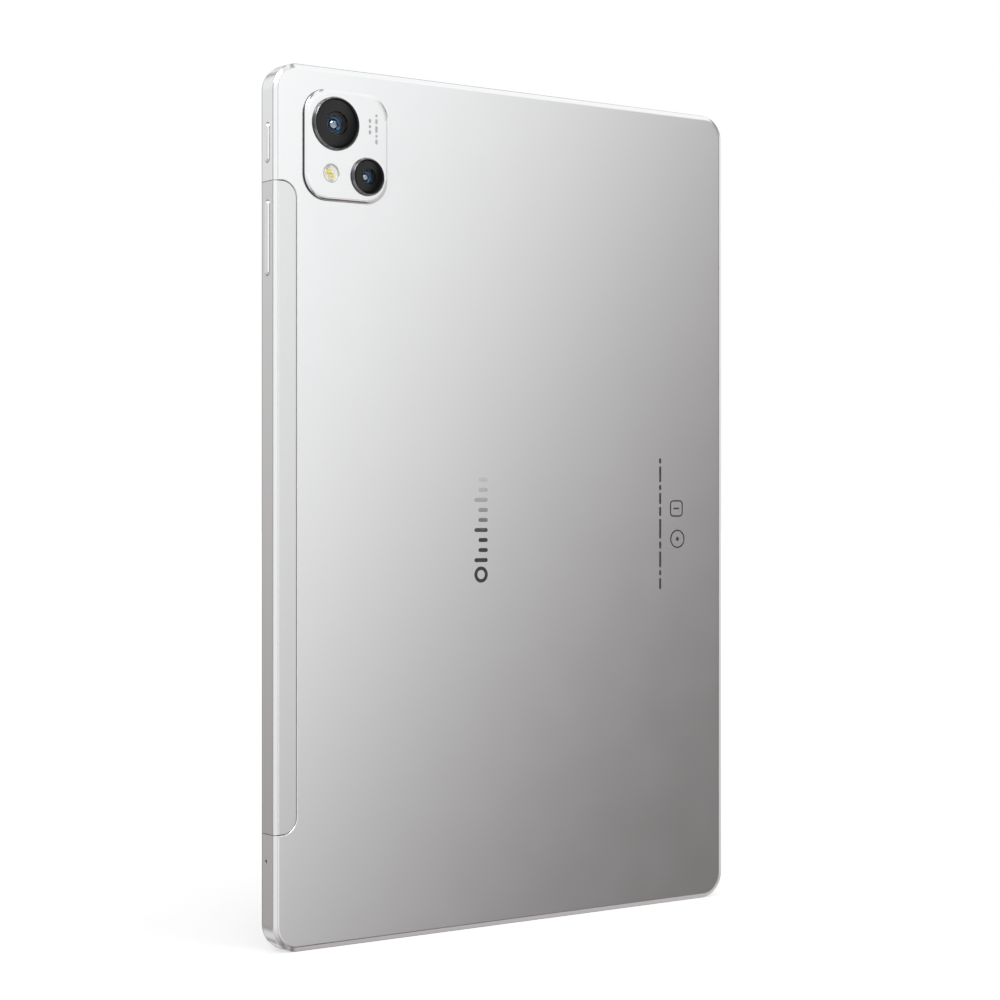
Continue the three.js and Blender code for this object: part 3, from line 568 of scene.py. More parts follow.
def window_block(gap):
    """The block that parts the window, flared at the back so that the seam's edge catches light."""
    inner = SIDE - WINDOW["across"] + gap
    outer = SIDE + WINDOW["across"]
    height = window_high.z - window_low.z + 2 * SEAM - 2 * gap
    lip = 0.3 if gap == 0 else -0.14
    levels = [(0, FRONT - 1)]
    for step in range(5):
        angle = math.radians(90 * step / 4)
        levels.append((lip * (1 - math.cos(angle)), BACK - abs(lip) * (1 - math.sin(angle))))
    levels.append((lip, BACK + 1))
    rings = []
    for extra, y in levels:
        outline = rounded(outer - inner + 2 * extra, height + 2 * extra, WINDOW["radius"] - gap + extra, 16)
        middle = (inner + outer) / 2
        rings.append([(middle + x, y, (window_low.z + window_high.z) / 2 + z) for x, z in outline])
    return loft(rings)


def side_slot(sign, length, width, radius, z, y=KEY_Y):
    """A cutter through a long side wall, with its mouth eased by a small flare."""
    rings = []
    for extra, x in ((0, SIDE - 2 * WALL), (0, SIDE - 0.05), (0.04, SIDE), (0.2, SIDE + 0.5)):
        outline = rounded(length + 2 * extra, width + 2 * extra, radius + extra, 10)
        rings.append([(sign * x, y + b, z + a) for a, b in outline])
    return loft(rings)


def end_hole(outline, x, y, top):
    """A cutter through a short side wall, with its mouth eased, for an outline in X and Y."""
    rings = []
    for extra, reach in ((1.0, -2 * WALL), (1.0, -0.07), (1.07, 0.0), (1.3, 0.6)):
        z = HEIGHT + reach if top else -reach
        rings.append([(x + a * extra, y + b * extra, z) for a, b in outline])
    return loft(rings)


def circle(radius):
    steps = 20
    return arc((0, 0), radius, 0, 360 - 360 / steps, steps - 1)


SPEAKER = {"x": -38.0, "holes": 8, "pitch": 2.1, "radius": 0.6}
power_low, power_high = box_mm("power_button")
volume_low, volume_high = box_mm("volume_rocker")
tray_low, tray_high = box_mm("sim_tray")
rod_low, rod_high = box_mm("eject_rod")
POWER = {"z": (power_low.z + power_high.z) / 2, "length": 10.6}
VOLUME = {"z": (volume_low.z + volume_high.z) / 2, "length": 20.1}
KEY = {"width": 2.0, "radius": 0.95, "slack": 0.14, "proud": 0.45}
TRAY = {
    "z": (tray_low.z + tray_high.z) / 2,
    "y": (tray_low.y + tray_high.y) / 2,
    "length": 15.0,
    "width": 1.9,
}
EJECT_Z = (rod_low.z + rod_high.z) / 2
MIC = {"z": 24.5, "y": -0.45}
SOCKET_MOUTH = {"width": 9.24, "height": 3.46, "radius": 1.58}


def key_slot(key):
    slack = 2 * KEY["slack"]
    return side_slot(1, key["length"] + slack, KEY["width"] + slack, KEY["radius"] + KEY["slack"], key["z"])


def housing_cutters():
    cutters = [window_block(0), key_slot(POWER)]
    cutters.append(loft([island_ring(-SEAM, y) for y in (FLOOR - 1, BACK + 1)]))
    slack = 2 * KEY["slack"]
    cutters.append(side_slot(-1, TRAY["length"] + slack, TRAY["width"] + slack, 0.95, TRAY["z"], TRAY["y"]))
    cutters.append(side_slot(-1, 0.9, 0.9, 0.449, EJECT_Z, TRAY["y"]))
    cutters.append(side_slot(1, 1.0, 1.0, 0.499, MIC["z"], MIC["y"]))
    mouth = rounded(SOCKET_MOUTH["width"], SOCKET_MOUTH["height"], SOCKET_MOUTH["radius"], 12)
    cutters.append(end_hole(mouth, 0.0, KEY_Y, False))
    for i in range(SPEAKER["holes"]):
        x = SPEAKER["x"] + (i - (SPEAKER["holes"] - 1) / 2) * SPEAKER["pitch"]
        cutters.append(end_hole(circle(SPEAKER["radius"]), x, KEY_Y, False))
        cutters.append(end_hole(circle(SPEAKER["radius"]), x, KEY_Y, True))
    return cutters


def on_outside(centre):
    return abs(centre.x) > SIDE - 1.4 or not 1.4 < centre.z < HEIGHT - 1.4


def is_bright_edge(centre, normal):
    """The cut bevel round the back."""
    return centre.y > BACK - BEVEL_DEEP - 0.03 and normal.y < 0.985 and on_outside(centre)


def is_painted_shade_rim(centre, normal):
    """The cut edge round the screen, in dark metal as painted shade for the dark outline along the
    silhouette.
    """
    return centre.y < RIM_Y + 0.82 and normal.y > -0.985 and on_outside(centre)


ISLAND_FLANGE = 1.0
RING_STEP = 0.4
ISLAND = {
    "x": (island_low.x + island_high.x) / 2,
    "z": (island_low.z + island_high.z) / 2,
    "width": island_high.x - island_low.x - 2 * ISLAND_FLANGE,
    "height": island_high.z - island_low.z - 2 * ISLAND_FLANGE,
    "radius": 7.0,
}


def island_ring(inset, y):
    width, height = ISLAND["width"] - 2 * inset, ISLAND["height"] - 2 * inset
    outline = rounded(width, height, ISLAND["radius"] - inset, 24)
    return [(ISLAND["x"] + x, y, ISLAND["z"] + z) for x, z in outline]


def make_housing():
    body = raw_object("housing", shell(), (SATIN, POLISHED, RIM_PAINTED_SHADE))
    boolean(body, housing_cutters())
    paint_faces(body, 1, is_bright_edge)
    paint_faces(body, 2, is_painted_shade_rim)
    shade(body)
    settle(body, "body", ("rear_housing",))


def make_window():
    looks = (SILVER_PAINT, SILVER_PAINT_EDGE, SILVER_PAINT_PAINTED_SHADE, RIM_PAINTED_SHADE)
    strip = raw_object("antenna_strip", shell(), looks)
    boolean(strip, [window_block(SEAM_SHOWN)], "INTERSECT")
    boolean(strip, [key_slot(VOLUME)])
    # The strip's side wall takes the darker copy of its paint: painted shade.
    paint_faces(strip, 2, lambda centre, normal: centre.x > SIDE - 0.5 and centre.y < BACK - BEVEL_DEEP)
    paint_faces(strip, 1, is_bright_edge)
    paint_faces(strip, 3, is_painted_shade_rim)
    shade(strip)
    settle(strip, "body", ("antenna_window",))


SCREWS = ("board_screw_1", "board_screw_2", "usb_board_screw_1", "usb_board_screw_2")


def make_posts():
    """The screw posts inside the housing, which are part of its casting."""
    posts = []
    for name in SCREWS:
        low, high = box_mm(name)
        centre = ((low.x + high.x) / 2, (low.z + high.z) / 2)
        profile = softened([(0.72, 1.75), (2.0, 1.75), (2.0, FLOOR), (0.72, FLOOR)], 0.1, closed=True)
        posts.append(lathe(profile, centre, 32))
    piece("screw_posts", joined(posts), (SATIN,))


make_housing()
make_window()
make_posts()


# ------------------------ keys and card tray


def key_cap(key, name, node, body):
    """A key: a cap with a polished slanting edge, over the flange that holds it in its slot."""
    low, high = box_mm(node)
    top = SIDE + KEY["proud"]
    cap = []
    profile = [(0.0, low.x + 0.6), (0.0, SIDE - 0.04), (0.26, top - 0.06), (0.36, top), (0.6, top)]
    for inset, x in softened(profile, 0.04):
        outline = rounded(key["length"] - 2 * inset, KEY["width"] - 2 * inset, KEY["radius"] - inset, 10)
        cap.append([(x, KEY_Y + b, key["z"] + a) for a, b in outline])
    flange = []
    for inset, x in ((0.1, low.x + 0.15), (0.0, low.x + 0.25), (0.0, low.x + 0.5), (0.1, low.x + 0.6)):
        outline = rounded(high.z - low.z - 2 * inset, high.y - low.y - 2 * inset, 0.6, 4)
        flange.append([(x, KEY_Y + b, key["z"] + a) for a, b in outline])
    solids = joined([loft(cap), loft(flange)])
    made = piece(name, solids, (SATIN, POLISHED), body, (node,))
    paint_faces(made, 1, lambda centre, normal: SIDE - 0.05 < centre.x < top - 0.005 and normal.x > 0.1)


CARD_X = (-69.9, -57.6)


def make_carrier():
    """The tray's thin carrier, with a stepped pocket for each card."""
    front, end = -SIDE + WALL - 0.1, tray_high.x
    deep, half_height, ease = 0.4, 6.6, 0.08
    outline = rounded(end - front, 2 * half_height, 1.2, 8)
    middle = (front + end) / 2
    rings = []
    for inset, y in ((ease, -deep), (0, -deep + ease), (0, deep - ease), (ease, deep)):
        shrink = 1 - inset / half_height
        rings.append([(middle + x * shrink, TRAY["y"] + y, TRAY["z"] + z * shrink) for x, z in outline])
    made = raw_object("card_carrier", loft(rings), (SATIN, POLISHED))
    pockets = []
    for x in CARD_X:
        for inset, low, high in ((0.0, -0.25, 1.0), (0.55, -1.0, 1.0)):
            hole = rounded(9.6 - 2 * inset, 11.6 - 2 * inset, 0.9, 5)
            rings = [[(x + a, TRAY["y"] + y, TRAY["z"] + b) for a, b in hole] for y in (low, high)]
            pockets.append(loft(rings))
    boolean(made, pockets)
    shade(made)
    settle(made, "card_tray", ("sim_tray",))


def make_tray_face():
    """The tray's face, flush in the side wall, with a polished edge."""
    rings = []
    for inset, x in softened([(0.0, SIDE - WALL), (0.0, SIDE - 0.12), (0.12, SIDE), (0.4, SIDE)], 0.05):
        outline = rounded(TRAY["length"] - 2 * inset, TRAY["width"] - 2 * inset, 0.9 - inset, 8)
        rings.append([(-x, TRAY["y"] + b, TRAY["z"] + a) for a, b in outline])
    made = piece("tray_face", loft(rings), (SATIN, POLISHED), "card_tray")
    paint_faces(made, 1, lambda centre, normal: centre.x < -SIDE + 0.13 and abs(normal.x) < 0.99)


key_cap(POWER, "power_key_cap", "power_button", "power_key")
key_cap(VOLUME, "volume_key_cap", "volume_rocker", "volume_key")
make_carrier()
make_tray_face()


# ------------------------ rear cameras and flash

main_low, main_high = box_mm("main_lens_ring")
second_low, second_high = box_mm("second_lens_ring")
flash_low, flash_high = box_mm("flash_lens")


def lens_place(low, high):
    middle = ((low.x + high.x) / 2, (low.z + high.z) / 2)
    return {"at": middle, "radius": (high.x - low.x) / 2, "top": high.y}


MAIN_LENS = lens_place(main_low, main_high)
SECOND_LENS = lens_place(second_low, second_high)
FLASH = lens_place(flash_low, flash_high)


def make_island():
    """The raised plate: an upright edge, a polished bevel, a fine groove and a satin top."""
    profile = softened([
        (1.0, island_low.y),
        (-ISLAND_FLANGE, island_low.y),
        (-ISLAND_FLANGE, island_low.y + 0.3),
        (0.0, island_low.y + 0.3),
        (0.0, ISLAND_TOP - 0.26),
        (0.5, ISLAND_TOP - 0.05),
        (0.74, ISLAND_TOP - 0.05),
        (0.80, ISLAND_TOP),
        (1.6, ISLAND_TOP),
    ], 0.05)
    rings = [island_ring(inset, y) for inset, y in profile]
    plate = raw_object("camera_plate", loft(rings), (SATIN, POLISHED, PLATE_EDGE_PAINTED_SHADE))
    hollow = [island_ring(1.5, y) for y in (island_low.y - 1, BACK - 0.7)]
    boolean(plate, [loft(hollow)])
    low, high, flare = BACK - 3, ISLAND_TOP + 1, 0.12
    holes = []
    for lens in (MAIN_LENS, SECOND_LENS):
        r = lens["radius"] - RING_STEP + 0.08
        holes.append(disc([(0, low), (r, low), (r, high), (0, high)], lens["at"]))
    r = FLASH["radius"] + 0.04
    mouth = [(r, low), (r, ISLAND_TOP - flare), (r + flare, ISLAND_TOP), (r + flare, high)]
    holes.append(disc([(0, low), *mouth, (0, high)], FLASH["at"], 64))
    boolean(plate, holes)
    # The upright faces take the edge material with its painted shade.
    paint_faces(plate, 2, lambda centre, normal: abs(normal.y) < 0.35)
    paint_faces(plate, 1, lambda centre, normal: centre.y > ISLAND_TOP - 0.3 and 0.35 < normal.y < 0.99)
    shade(plate)
    settle(plate, "body", ("camera_island",))


def radius_about(at):
    """A function that gives a point's distance from the Y axis through at."""
    return lambda point: math.hypot(point.x - at[0], point.z - at[1])


def make_ring(name, lens, node):
    """The turned collar round a lens, with a lighter bevel and a black inside."""
    r, top, at = lens["radius"], lens["top"], lens["at"]
    base = ISLAND_TOP + 0.02
    low = box_mm(node)[0].y
    collar = turned_metal(name + "_collar_metal", (0.035, 0.035, 0.037), 0.16, at)
    edge = turned_metal(name + "_edge_metal", (0.36, 0.36, 0.37), 0.16, at)
    profile = softened([
        (r - RING_STEP, low),
        (r - RING_STEP, base),
        (r, base),
        (r, top - 0.58),
        (r - 0.40, top - 0.02),
        (r - 0.52, top),
        (r - 0.75, top - 0.4),
        (r - 0.75, top - 1.1),
        (r - 2.0, top - 1.1),
        (r - 2.0, low),
    ], 0.05, closed=True)
    looks = (collar, edge, BLACK_PLASTIC)
    ring = piece(name + "_ring", lathe(profile, at, 128), looks, "body", (node,))
    radius_of = radius_about(at)
    paint_faces(ring, 1, lambda c, n: c.y > top - 0.62 and n.y > 0.3 and radius_of(c) > r - 0.45)
    paint_faces(ring, 2, lambda c, n: radius_of(c) < r - 0.55 and c.y > top - 1.2)


def make_cover(name, lens, node, window):
    """The domed glass, printed black on its back but for a round window of this radius."""
    at = lens["at"]
    g = lens["radius"] - 0.8
    rim, dome, thick, steps = lens["top"] - 0.45, 0.4, 0.5, 14
    bulge = (g * g + dome * dome) / (2 * dome)

    def sphere(radius, level):
        return level + dome - bulge + math.sqrt(bulge * bulge - radius * radius)

    under = [(g * i / steps, sphere(g * i / steps, rim - thick)) for i in range(steps + 1)]
    over = [(g * i / steps, sphere(g * i / steps, rim)) for i in reversed(range(steps + 1))]
    over[0] = (g, rim - 0.06)
    cover = raw_object(name + "_glass", disc([*under, *over], at, 128), (COVER, black_glass(name, at)))
    radius_of = radius_about(at)
    paint_faces(cover, 1, lambda c, n: radius_of(c) > window)
    shade(cover)
    settle(cover, "body", (node,))


def element_seat(barrel):
    """The radius and height of the ledge in a barrel that carries its front element."""
    return barrel["radius"] * 0.78, barrel["high"] - 0.37 * barrel["radius"]


def make_barrel(name, at, barrel):
    """The black barrel with its stepped mouth, on a sensor block where it has one."""
    outer, low, high = barrel["radius"], barrel["low"], barrel["high"]
    inner, seat = element_seat(barrel)
    stops = [(0, low), (outer, low), (outer, high - 0.1), (outer - 0.1, high)]
    for i in range(3):
        here = outer - (0.08 + 0.045 * i) * outer
        stops += [(here, high - 0.12 * i), (here, high - 0.12 * (i + 1))]
    stops += [(inner, high - 0.4), (inner, seat - 0.1), (0, seat - 0.1)]
    parts = [disc(stops, at)]
    if "block" in barrel:
        half = barrel["block"] / 2
        parts.append(block((at[0] - half, barrel["block_low"], at[1] - half),
                           (at[0] + half, low + 0.2, at[1] + half)))
    piece(name + "_barrel", joined(parts), (BAFFLE,), barrel["body"], (barrel["node"],))


def make_element(name, at, barrel):
    """The front element: a small dome in the middle of a coated bowl."""
    inner, seat = element_seat(barrel)
    dome_radius, dome_rise = 0.80 * inner, 0.55 * inner
    curve = (dome_radius ** 2 + dome_rise ** 2) / (2 * dome_rise)
    profile = [(0, seat - 0.08), (inner, seat - 0.08)]
    for i in range(8, -1, -1):
        share = i / 8
        profile.append((dome_radius + (inner - dome_radius) * share, seat + 0.18 * inner * share ** 2))
    for i in range(11, -1, -1):
        radius = dome_radius * i / 12
        profile.append((radius, seat + dome_rise - curve + math.sqrt(curve ** 2 - radius ** 2)))
    looks = (ELEMENT, ELEMENT_BOWL)
    front = piece(name + "_element", disc(profile, at), looks, barrel["body"], angle=20)
    radius_of = radius_about(at)
    paint_faces(front, 1, lambda c, n: radius_of(c) > dome_radius)


def make_lens(name, lens, ring_node, glass_node, barrel):
    make_ring(name, lens, ring_node)
    make_cover(name, lens, glass_node, barrel["radius"] + 0.08)
    make_barrel(name, lens["at"], barrel)
    make_element(name, lens["at"], barrel)


def make_flash():
    """A clear window with moulded rings, over a white cup that holds two light-emitting chips."""
    r, top, at = FLASH["radius"], FLASH["top"], FLASH["at"]
    profile = [(0, top - 0.55)]
    ridges = 4
    for i in range(ridges):
        out = (r - 0.25) * (i + 1) / ridges
        profile += [(out - 0.14, top - 0.55), (out, top - 0.42)]
    profile += [(r - 0.02, top - 0.5), (r - 0.02, top - 0.1), (r - 0.1, top), (0, top)]
    piece("flash_window", disc(profile, at, 64), (FLASH_CLEAR,), "body", ("flash_lens",))
    cup = [
        (r - 0.02, top - 0.6),
        (r - 0.02, top - 1.05),
        (0, top - 1.05),
        (0, top - 0.95),
        (1.3, top - 0.95),
        (r - 0.15, top - 0.6),
    ]
    piece("flash_cup", disc(cup, at, loop=True), (REFLECTOR,), "body", ("flash_led",))
    chips = []
    for side in (-1, 1):
        x, z = at[0] + side * 0.46, at[1] + side * 0.55
        chips.append(block((x - 0.85, top - 0.95, z - 0.64), (x + 0.85, top - 0.70, z + 0.64)))
    piece("flash_chips", joined(chips), (PHOSPHOR,), "body")


make_island()
make_lens("main", MAIN_LENS, "main_lens_ring", "main_lens_glass", {
    "node": "main_lens_barrel", "body": "focus_lens", "radius": 3.0, "low": 0.9, "high": 4.15,
})
make_lens("second", SECOND_LENS, "second_lens_ring", "second_lens_glass", {
    "node": "second_camera", "body": "body", "radius": 2.3, "low": 2.2, "high": 4.1,
    "block": 6.5, "block_low": -0.2,
})
make_flash()


# ------------------------ screen side


GLASS_INSET = SIDE - glass_high.x


def make_cover_glass():
    edge = 0.3
    profile = [(GLASS_INSET, glass_high.y), (GLASS_INSET, FRONT + edge)]
    for angle in (0.4, 0.8, 1.15, math.pi / 2):
        profile.append((GLASS_INSET + edge - edge * math.cos(angle), FRONT + edge - edge * math.sin(angle)))
    glass = loft([body_ring(inset, y) for inset, y in profile])
    piece("cover_glass", glass, (SCREEN,), "body", ("front_glass",))


def make_screen_frame():
    """The black frame whose lip shows round the glass, with the ledge that carries it."""
    profile = softened([
        (0.5, RIM_Y - 0.05),
        (0.5, -3.5),
        (0.65, -3.6),
        (GLASS_INSET - 0.07, -3.6),
        (GLASS_INSET - 0.07, -2.95),
        (3.4, -2.95),
        (3.4, -2.3),
        (2.2, -2.3),
        (2.2, -1.8),
        (WALL + 0.05, -1.8),
        (WALL + 0.05, RIM_Y - 0.05),
    ], 0.04, 2, closed=True)
    rim = loft([body_ring(inset, y) for inset, y in profile], loop=True)
    piece("screen_frame", rim, (BLACK_PLASTIC,), "body", ("display_frame",))


make_cover_glass()
make_screen_frame()


# ------------------------ charging socket


shell_low, shell_high = box_mm("usb_shell")
tongue_low, tongue_high = box_mm("usb_tongue")
TONGUE_THICK = 0.7


def make_socket_shell():
    """The drawn steel shell, with a rolled mouth."""
    low, high, wall = shell_low, shell_high, 0.25
    width, depth = high.x - low.x, high.y - low.y
    profile = (
        (0.06, low.z),
        (0.0, low.z + 0.08),
        (0.0, high.z),
        (wall, high.z),
        (wall, low.z + 0.1),
        (wall - 0.08, low.z),
    )
    rings = []
    for inset, z in profile:
        outline = rounded(width - 2 * inset, depth - 2 * inset, depth / 2 - inset - 0.005, 14)
        rings.append([(x, KEY_Y + y, z) for x, y in outline])
    piece("socket_shell", loft(rings, loop=True), (STEEL,), "body", ("usb_shell",))


def make_socket_tongue():
    """The tongue, rounded at its tip, on the plastic base that closes the shell."""
    low, high = tongue_low.z, tongue_high.z
    tongue = []
    for inset, z in ((0.18, low), (0.0, low + 0.3), (0.0, high - 0.9)):
        outline = rounded(6.7 - 2 * inset, TONGUE_THICK - inset, 0.25, 5)
        tongue.append([(x, KEY_Y + y, z) for x, y in outline])
    base = [[(x, KEY_Y + y, z) for x, y in rounded(8.0, 2.4, 1.15, 8)] for z in (high - 1.0, high)]
    solids = joined([loft(tongue), loft(base)])
    piece("socket_tongue", solids, (BLACK_PLASTIC,), "body", ("usb_tongue",))


def make_socket_contacts():
    """A row of gold contacts on each face of the tongue."""
    count, pitch = 12, 0.5
    contacts = []
    for i in range(count):
        x = (i - (count - 1) / 2) * pitch
        start = tongue_low.z + (0.5 if i % 3 else 0.35)
        for face in (-1, 1):
            y = KEY_Y + face * TONGUE_THICK / 2
            contacts.append(block((x - 0.13, y - 0.02, start), (x + 0.13, y + 0.02, tongue_high.z - 1.0)))
    piece("socket_contacts", joined(contacts), (GOLD,), "body")


make_socket_shell()
make_socket_tongue()
make_socket_contacts()


# ------------------------ generic marks on the back


PRINT_SUNK = 0.01
PRINT_TALL = 0.012


def mark_bar(x, z, width, height, y=BACK):
    """A thin printed bar with round ends, lying on the back."""
    outline = rounded(width, height, min(width, height) / 2 - 0.001, 6)
    return loft([[(x + a, level, z + b) for a, b in outline] for level in (y - PRINT_SUNK, y + PRINT_TALL)])


def ring_mark(x, z, outer, stroke, corner):
    """A thin printed outline of a rounded square, or a ring where the corner is half its side."""
    inner = outer - 2 * stroke
    low, high = BACK - PRINT_SUNK, BACK + PRINT_TALL
    rings = []
    for size, level in ((outer, low), (outer, high), (inner, high), (inner, low)):
        radius = max(corner - (outer - size) / 2, 0.05)
        rings.append([(x + a, level, z + b) for a, b in rounded(size, size, radius - 0.001, 12)])
    return loft(rings, loop=True)


def dashes(x, start, end, width, lengths, gap, y=BACK):
    """A line of bars along Z that runs from start up to end."""
    row, z, i = [], start, 0
    while z < end - 0.4:
        length = min(lengths[i % len(lengths)], end - z)
        row.append(mark_bar(x, z + length / 2, width, length, y))
        z += length + gap
        i += 1
    return row


# Plain bars, dashes and simple shapes stand in place of the printing on a real one.


def make_maker_mark():
    """A ring and a row of bars of two lengths, in ink whose painted reflection turns it bright upwards."""
    x, start, first_bar, pitch = 11.5, 98.0, 6.4, 2.85
    long_bar, short_bar = 4.6, 3.2
    row = [ring_mark(x, start + long_bar / 2, long_bar, 1.0, long_bar / 2)]
    for i in range(9):
        length = short_bar if i % 3 else long_bar
        row.append(mark_bar(x - (long_bar - length) / 2, start + first_bar + pitch * i, length, 1.15))
    piece("maker_mark", joined(row), (MARK_PAINTED_REFLECTION,), "body")


def make_small_print():
    line = dashes(-54.1, 94.6, 134.0, 0.8, (3.4, 1.6, 4.8, 2.2, 6.0, 2.8), 0.8)
    piece("small_print", joined(line), (MARK_INK,), "body")


def make_plain_signs():
    """A rounded square with a bar in it, and a ring with a dot in it."""
    square, ring = (-60.4, 118.9), (-60.8, 109.7)
    signs = [
        ring_mark(*square, 5.0, 0.45, 1.2),
        mark_bar(*square, 2.2, 0.5),
        ring_mark(*ring, 5.6, 0.45, 2.8),
        mark_bar(*ring, 1.2, 1.2),
    ]
    piece("plain_signs", joined(signs), (MARK_INK,), "body")


def make_island_print():
    lines = dashes(49.2, 221.6, 226.2, 0.75, (1.2, 0.9), 0.5, ISLAND_TOP)
    lines += dashes(47.1, 219.0, 228.2, 0.75, (1.4, 0.8, 1.9), 0.5, ISLAND_TOP)
    piece("island_print", joined(lines), (MARK_GREY,), "body")


make_maker_mark()
make_small_print()
make_plain_signs()
make_island_print()


# ------------------------ pieces kept from the CAD

KEPT = (
    (TAPE, ("glass_adhesive", "battery_tape_left", "battery_tape_right")),
    (PANEL, ("lcd_panel",)),
    (LIGHT_SHEET, ("light_guide",)),
    (FILM, ("display_flex", "camera_flex", "key_flex", "ribbon_cable", "battery_lead")),
    (FILM, ("wifi_antenna", "mobile_antenna")),
    (BLACK_PLASTIC, ("main_camera_holder", "front_camera", "speaker_bottom", "speaker_top")),
    (BOARD, ("main_board", "usb_board", "battery_board")),
    (CHIP_BLACK, ("processor_chip", "memory_chip", "power_chip", "antenna_cable")),
    (PAD, ("thermal_pad",)),
    (GRAPHITE, ("graphite_sheet",)),
    (POUCH, ("battery_cell_left", "battery_cell_right")),
    (DARK_STEEL, ("eject_rod", "eject_lever")),
    (STEEL, ("backlight_tray", "processor_shield", "radio_shield", "sim_socket", "microphone")),
    (STEEL, ("power_switch", "volume_up_switch", "volume_down_switch", "key_bracket")),
    (STEEL, SCREWS),
)


def dress(node, look):
    """Gives a CAD piece its material and eases its edges."""
    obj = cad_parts[node]
    obj.data.materials.clear()
    obj.data.materials.append(look)
    low, high = box_mm(node)
    thinnest = min(high - low)
    ease = obj.modifiers.new("ease", "BEVEL")
    ease.width = min(0.12, thinnest * 0.2) * MM
    ease.segments = 2
    ease.limit_method = "ANGLE"
    ease.angle_limit = math.radians(40)


for look, node_names in KEPT:
    for node_name in node_names:
        dress(node_name, look)


# ------------------------ studio


def toward(n, direction, axis):
    """How far a direction leans towards an axis: 1 along it, -1 away from it."""
    unit = Vector(axis).normalized()
    return n.add("VectorMath", {0: direction, 1: unit}, operation="DOT_PRODUCT").outputs["Value"]


def patch(n, direction, centre, inner, outer):
    """1 within inner degrees of centre, falling softly to 0 at outer degrees."""
    angle = n.math("ARCCOSINE", toward(n, direction, centre))
    return n.span(angle, math.radians(inner), math.radians(outer), 1.0, 0.0, smooth=True)


def band(n, value, centre, inner, outer):
    """1 where value is within inner of centre, falling softly to 0 at outer."""
    away = n.math("ABSOLUTE", n.math("SUBTRACT", value, centre))
    return n.span(away, inner, outer, 1.0, 0.0, smooth=True)


def darken(n, level, share, depth):
    return n.math("MULTIPLY", level, n.math("SUBTRACT", 1.0, n.math("MULTIPLY", share, depth)))


def open_light(n, y, up, direction):
    """The light of the studio before its dark flags go up."""
    level = n.span(up, -0.9, 0.35, 0.45, 1.0, smooth=True)
    # The screen side is lit from above, dim at the horizon and lit again by the floor.
    front = n.span(y, 0.2, -0.2, smooth=True)
    below = n.math("ADD", n.span(up, -0.3, 0.3, 0.33, 0.93, smooth=True),
                   n.span(up, -0.27, -0.42, 0.0, 0.42, smooth=True))
    level = n.add("Mix", {0: front, 2: level, 3: below}, data_type="FLOAT").outputs[0]
    # A large flag whose soft edge draws the sweep of grey across the back. It is paler again far out.
    lean = toward(n, direction, (0.512, 0.731, 0.451))
    sweep = n.span(lean, 0.169, 0.448, 0.076, 1.153, smooth=True)
    sweep = n.math("MAXIMUM", sweep, n.span(lean, 0.05, -0.15, 0.076, 0.55, smooth=True))
    flag = patch(n, direction, (-0.66, 0.74, -0.12), 26, 44)
    return n.add("Mix", {0: flag, 2: level, 3: sweep}, data_type="FLOAT").outputs[0]


def flagged_light(n, level, x, y, up, direction):
    """The light with the dark flags that draw edges and corners."""
    # Narrow strips from overhead to the floor, seen only in rounded edges and corners.
    for centre, half, depth in ((0.0, 0.05, 0.75), (0.30, 0.03, 0.5), (-0.33, 0.04, 0.6)):
        strip = band(n, x, centre, half, 2 * half)
        if centre:
            strip = n.math("MULTIPLY", strip, n.span(n.math("ABSOLUTE", up), 0.5, 0.62, smooth=True))
        level = darken(n, level, strip, depth)
    # One beside the keys, two behind the object, and one beyond the plain long side.
    level = darken(n, level, patch(n, direction, (0.93, 0.20, 0.15), 22, 34), 0.68)
    behind = n.math("MULTIPLY", band(n, x, -0.22, 0.42, 0.54), band(n, up, 0.0, 0.26, 0.38))
    level = darken(n, level, n.math("MULTIPLY", behind, n.span(y, 0.0, -0.2, smooth=True)), 0.8)
    around = n.math("MULTIPLY", band(n, x, -0.50, 0.08, 0.20), n.span(y, 0.10, -0.15, smooth=True))
    level = darken(n, level, around, 0.8)
    return darken(n, level, patch(n, direction, (-0.90, 0.06, 0.42), 7, 15), 0.8)


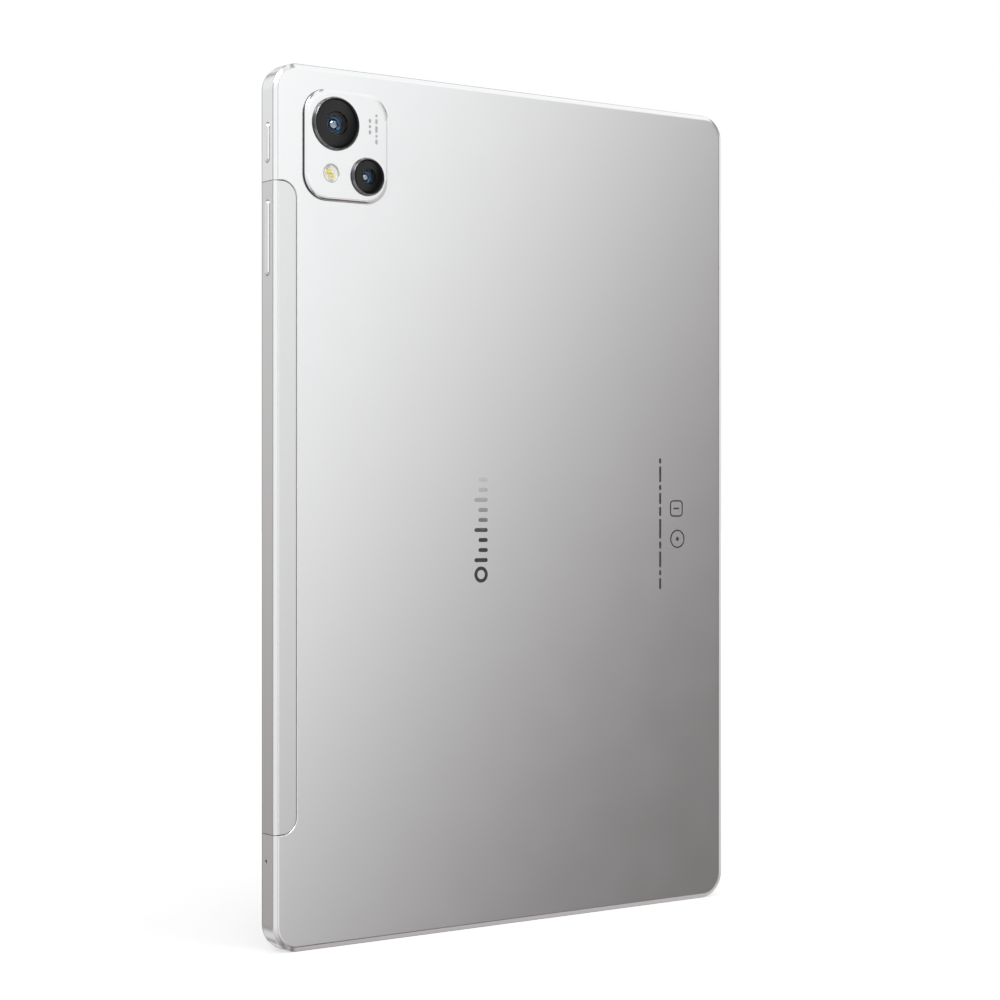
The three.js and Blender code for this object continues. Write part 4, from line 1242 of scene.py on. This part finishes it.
def make_world():
    """A white studio: plain white behind, with soft grey flags around it that model the metal."""
    world = bpy.data.worlds.new("studio")
    bpy.context.scene.world = world
    world.use_nodes = True
    n = Nodes(world.node_tree)
    direction = n.add("TexCoord").outputs["Generated"]
    x, y, up = n.axes(direction)
    level = flagged_light(n, open_light(n, y, up, direction), x, y, up, direction)
    tone = n.mix(n.span(level, 0.1, 0.9), (1.0, 0.90, 0.89), (0.985, 0.998, 1.0))
    seen = n.add("LightPath").outputs["Is Camera Ray"]
    background = n.add("Background", {"Color": n.mix(seen, tone, (1.0, 1.0, 1.0)),
                                      "Strength": n.math("MAXIMUM", level, seen)})
    n.add("OutputWorld", {"Surface": background.outputs[0]})


def make_lamp(name, direction, angle, strength):
    """A round lamp that gives glass and polished edges their highlights."""
    distance = 0.8
    data = bpy.data.lights.new(name, "AREA")
    data.shape = "DISK"
    data.size = 2 * distance * math.tan(math.radians(angle / 2))
    data.energy = strength * math.pi * math.pi * (data.size / 2) ** 2
    lamp = bpy.data.objects.new(name, data)
    bpy.context.scene.collection.objects.link(lamp)
    lens = Vector((MAIN_LENS["at"][0], BACK, MAIN_LENS["at"][1])) * MM
    lamp.location = lens + Vector(direction).normalized() * distance
    lamp.rotation_euler = (lens - lamp.location).to_track_quat("-Z", "Y").to_euler()
    lamp.visible_camera = False
    lamp.visible_diffuse = False


def make_floor():
    made, n = material("studio_floor")
    tone = n.mix(n.span(n.noise(n.coords(), 400.0), 0.3, 0.7), (0.90, 0.90, 0.90), (0.92, 0.92, 0.92))
    n.surface(Base_Color=tone, Roughness=0.8, Emission_Color=(1.0, 1.0, 1.0, 1.0), Emission_Strength=0.45)
    bm = bmesh.new()
    bmesh.ops.create_circle(bm, cap_ends=True, radius=8000.0, segments=64)
    floor = raw_object("studio_floor", bm, (made,))
    floor.visible_glossy = False


def make_camera():
    data = bpy.data.cameras.new("camera")
    data.lens = 81.08
    data.sensor_width = 36.0
    data.clip_start = 0.01
    data.clip_end = 50.0
    camera = bpy.data.objects.new("camera", data)
    bpy.context.scene.collection.objects.link(camera)
    camera.location = (0.37649, 0.52899, 0.12165)
    target = Vector((-0.000529, -0.00385, 0.121461))
    camera.rotation_euler = (target - camera.location).to_track_quat("-Z", "Y").to_euler()
    bpy.context.scene.camera = camera


make_world()
make_lamp("high_lamp", (0.42, 0.65, 0.64), 28, 13.0)
make_floor()
make_camera()
bpy.context.scene.view_settings.view_transform = "Standard"
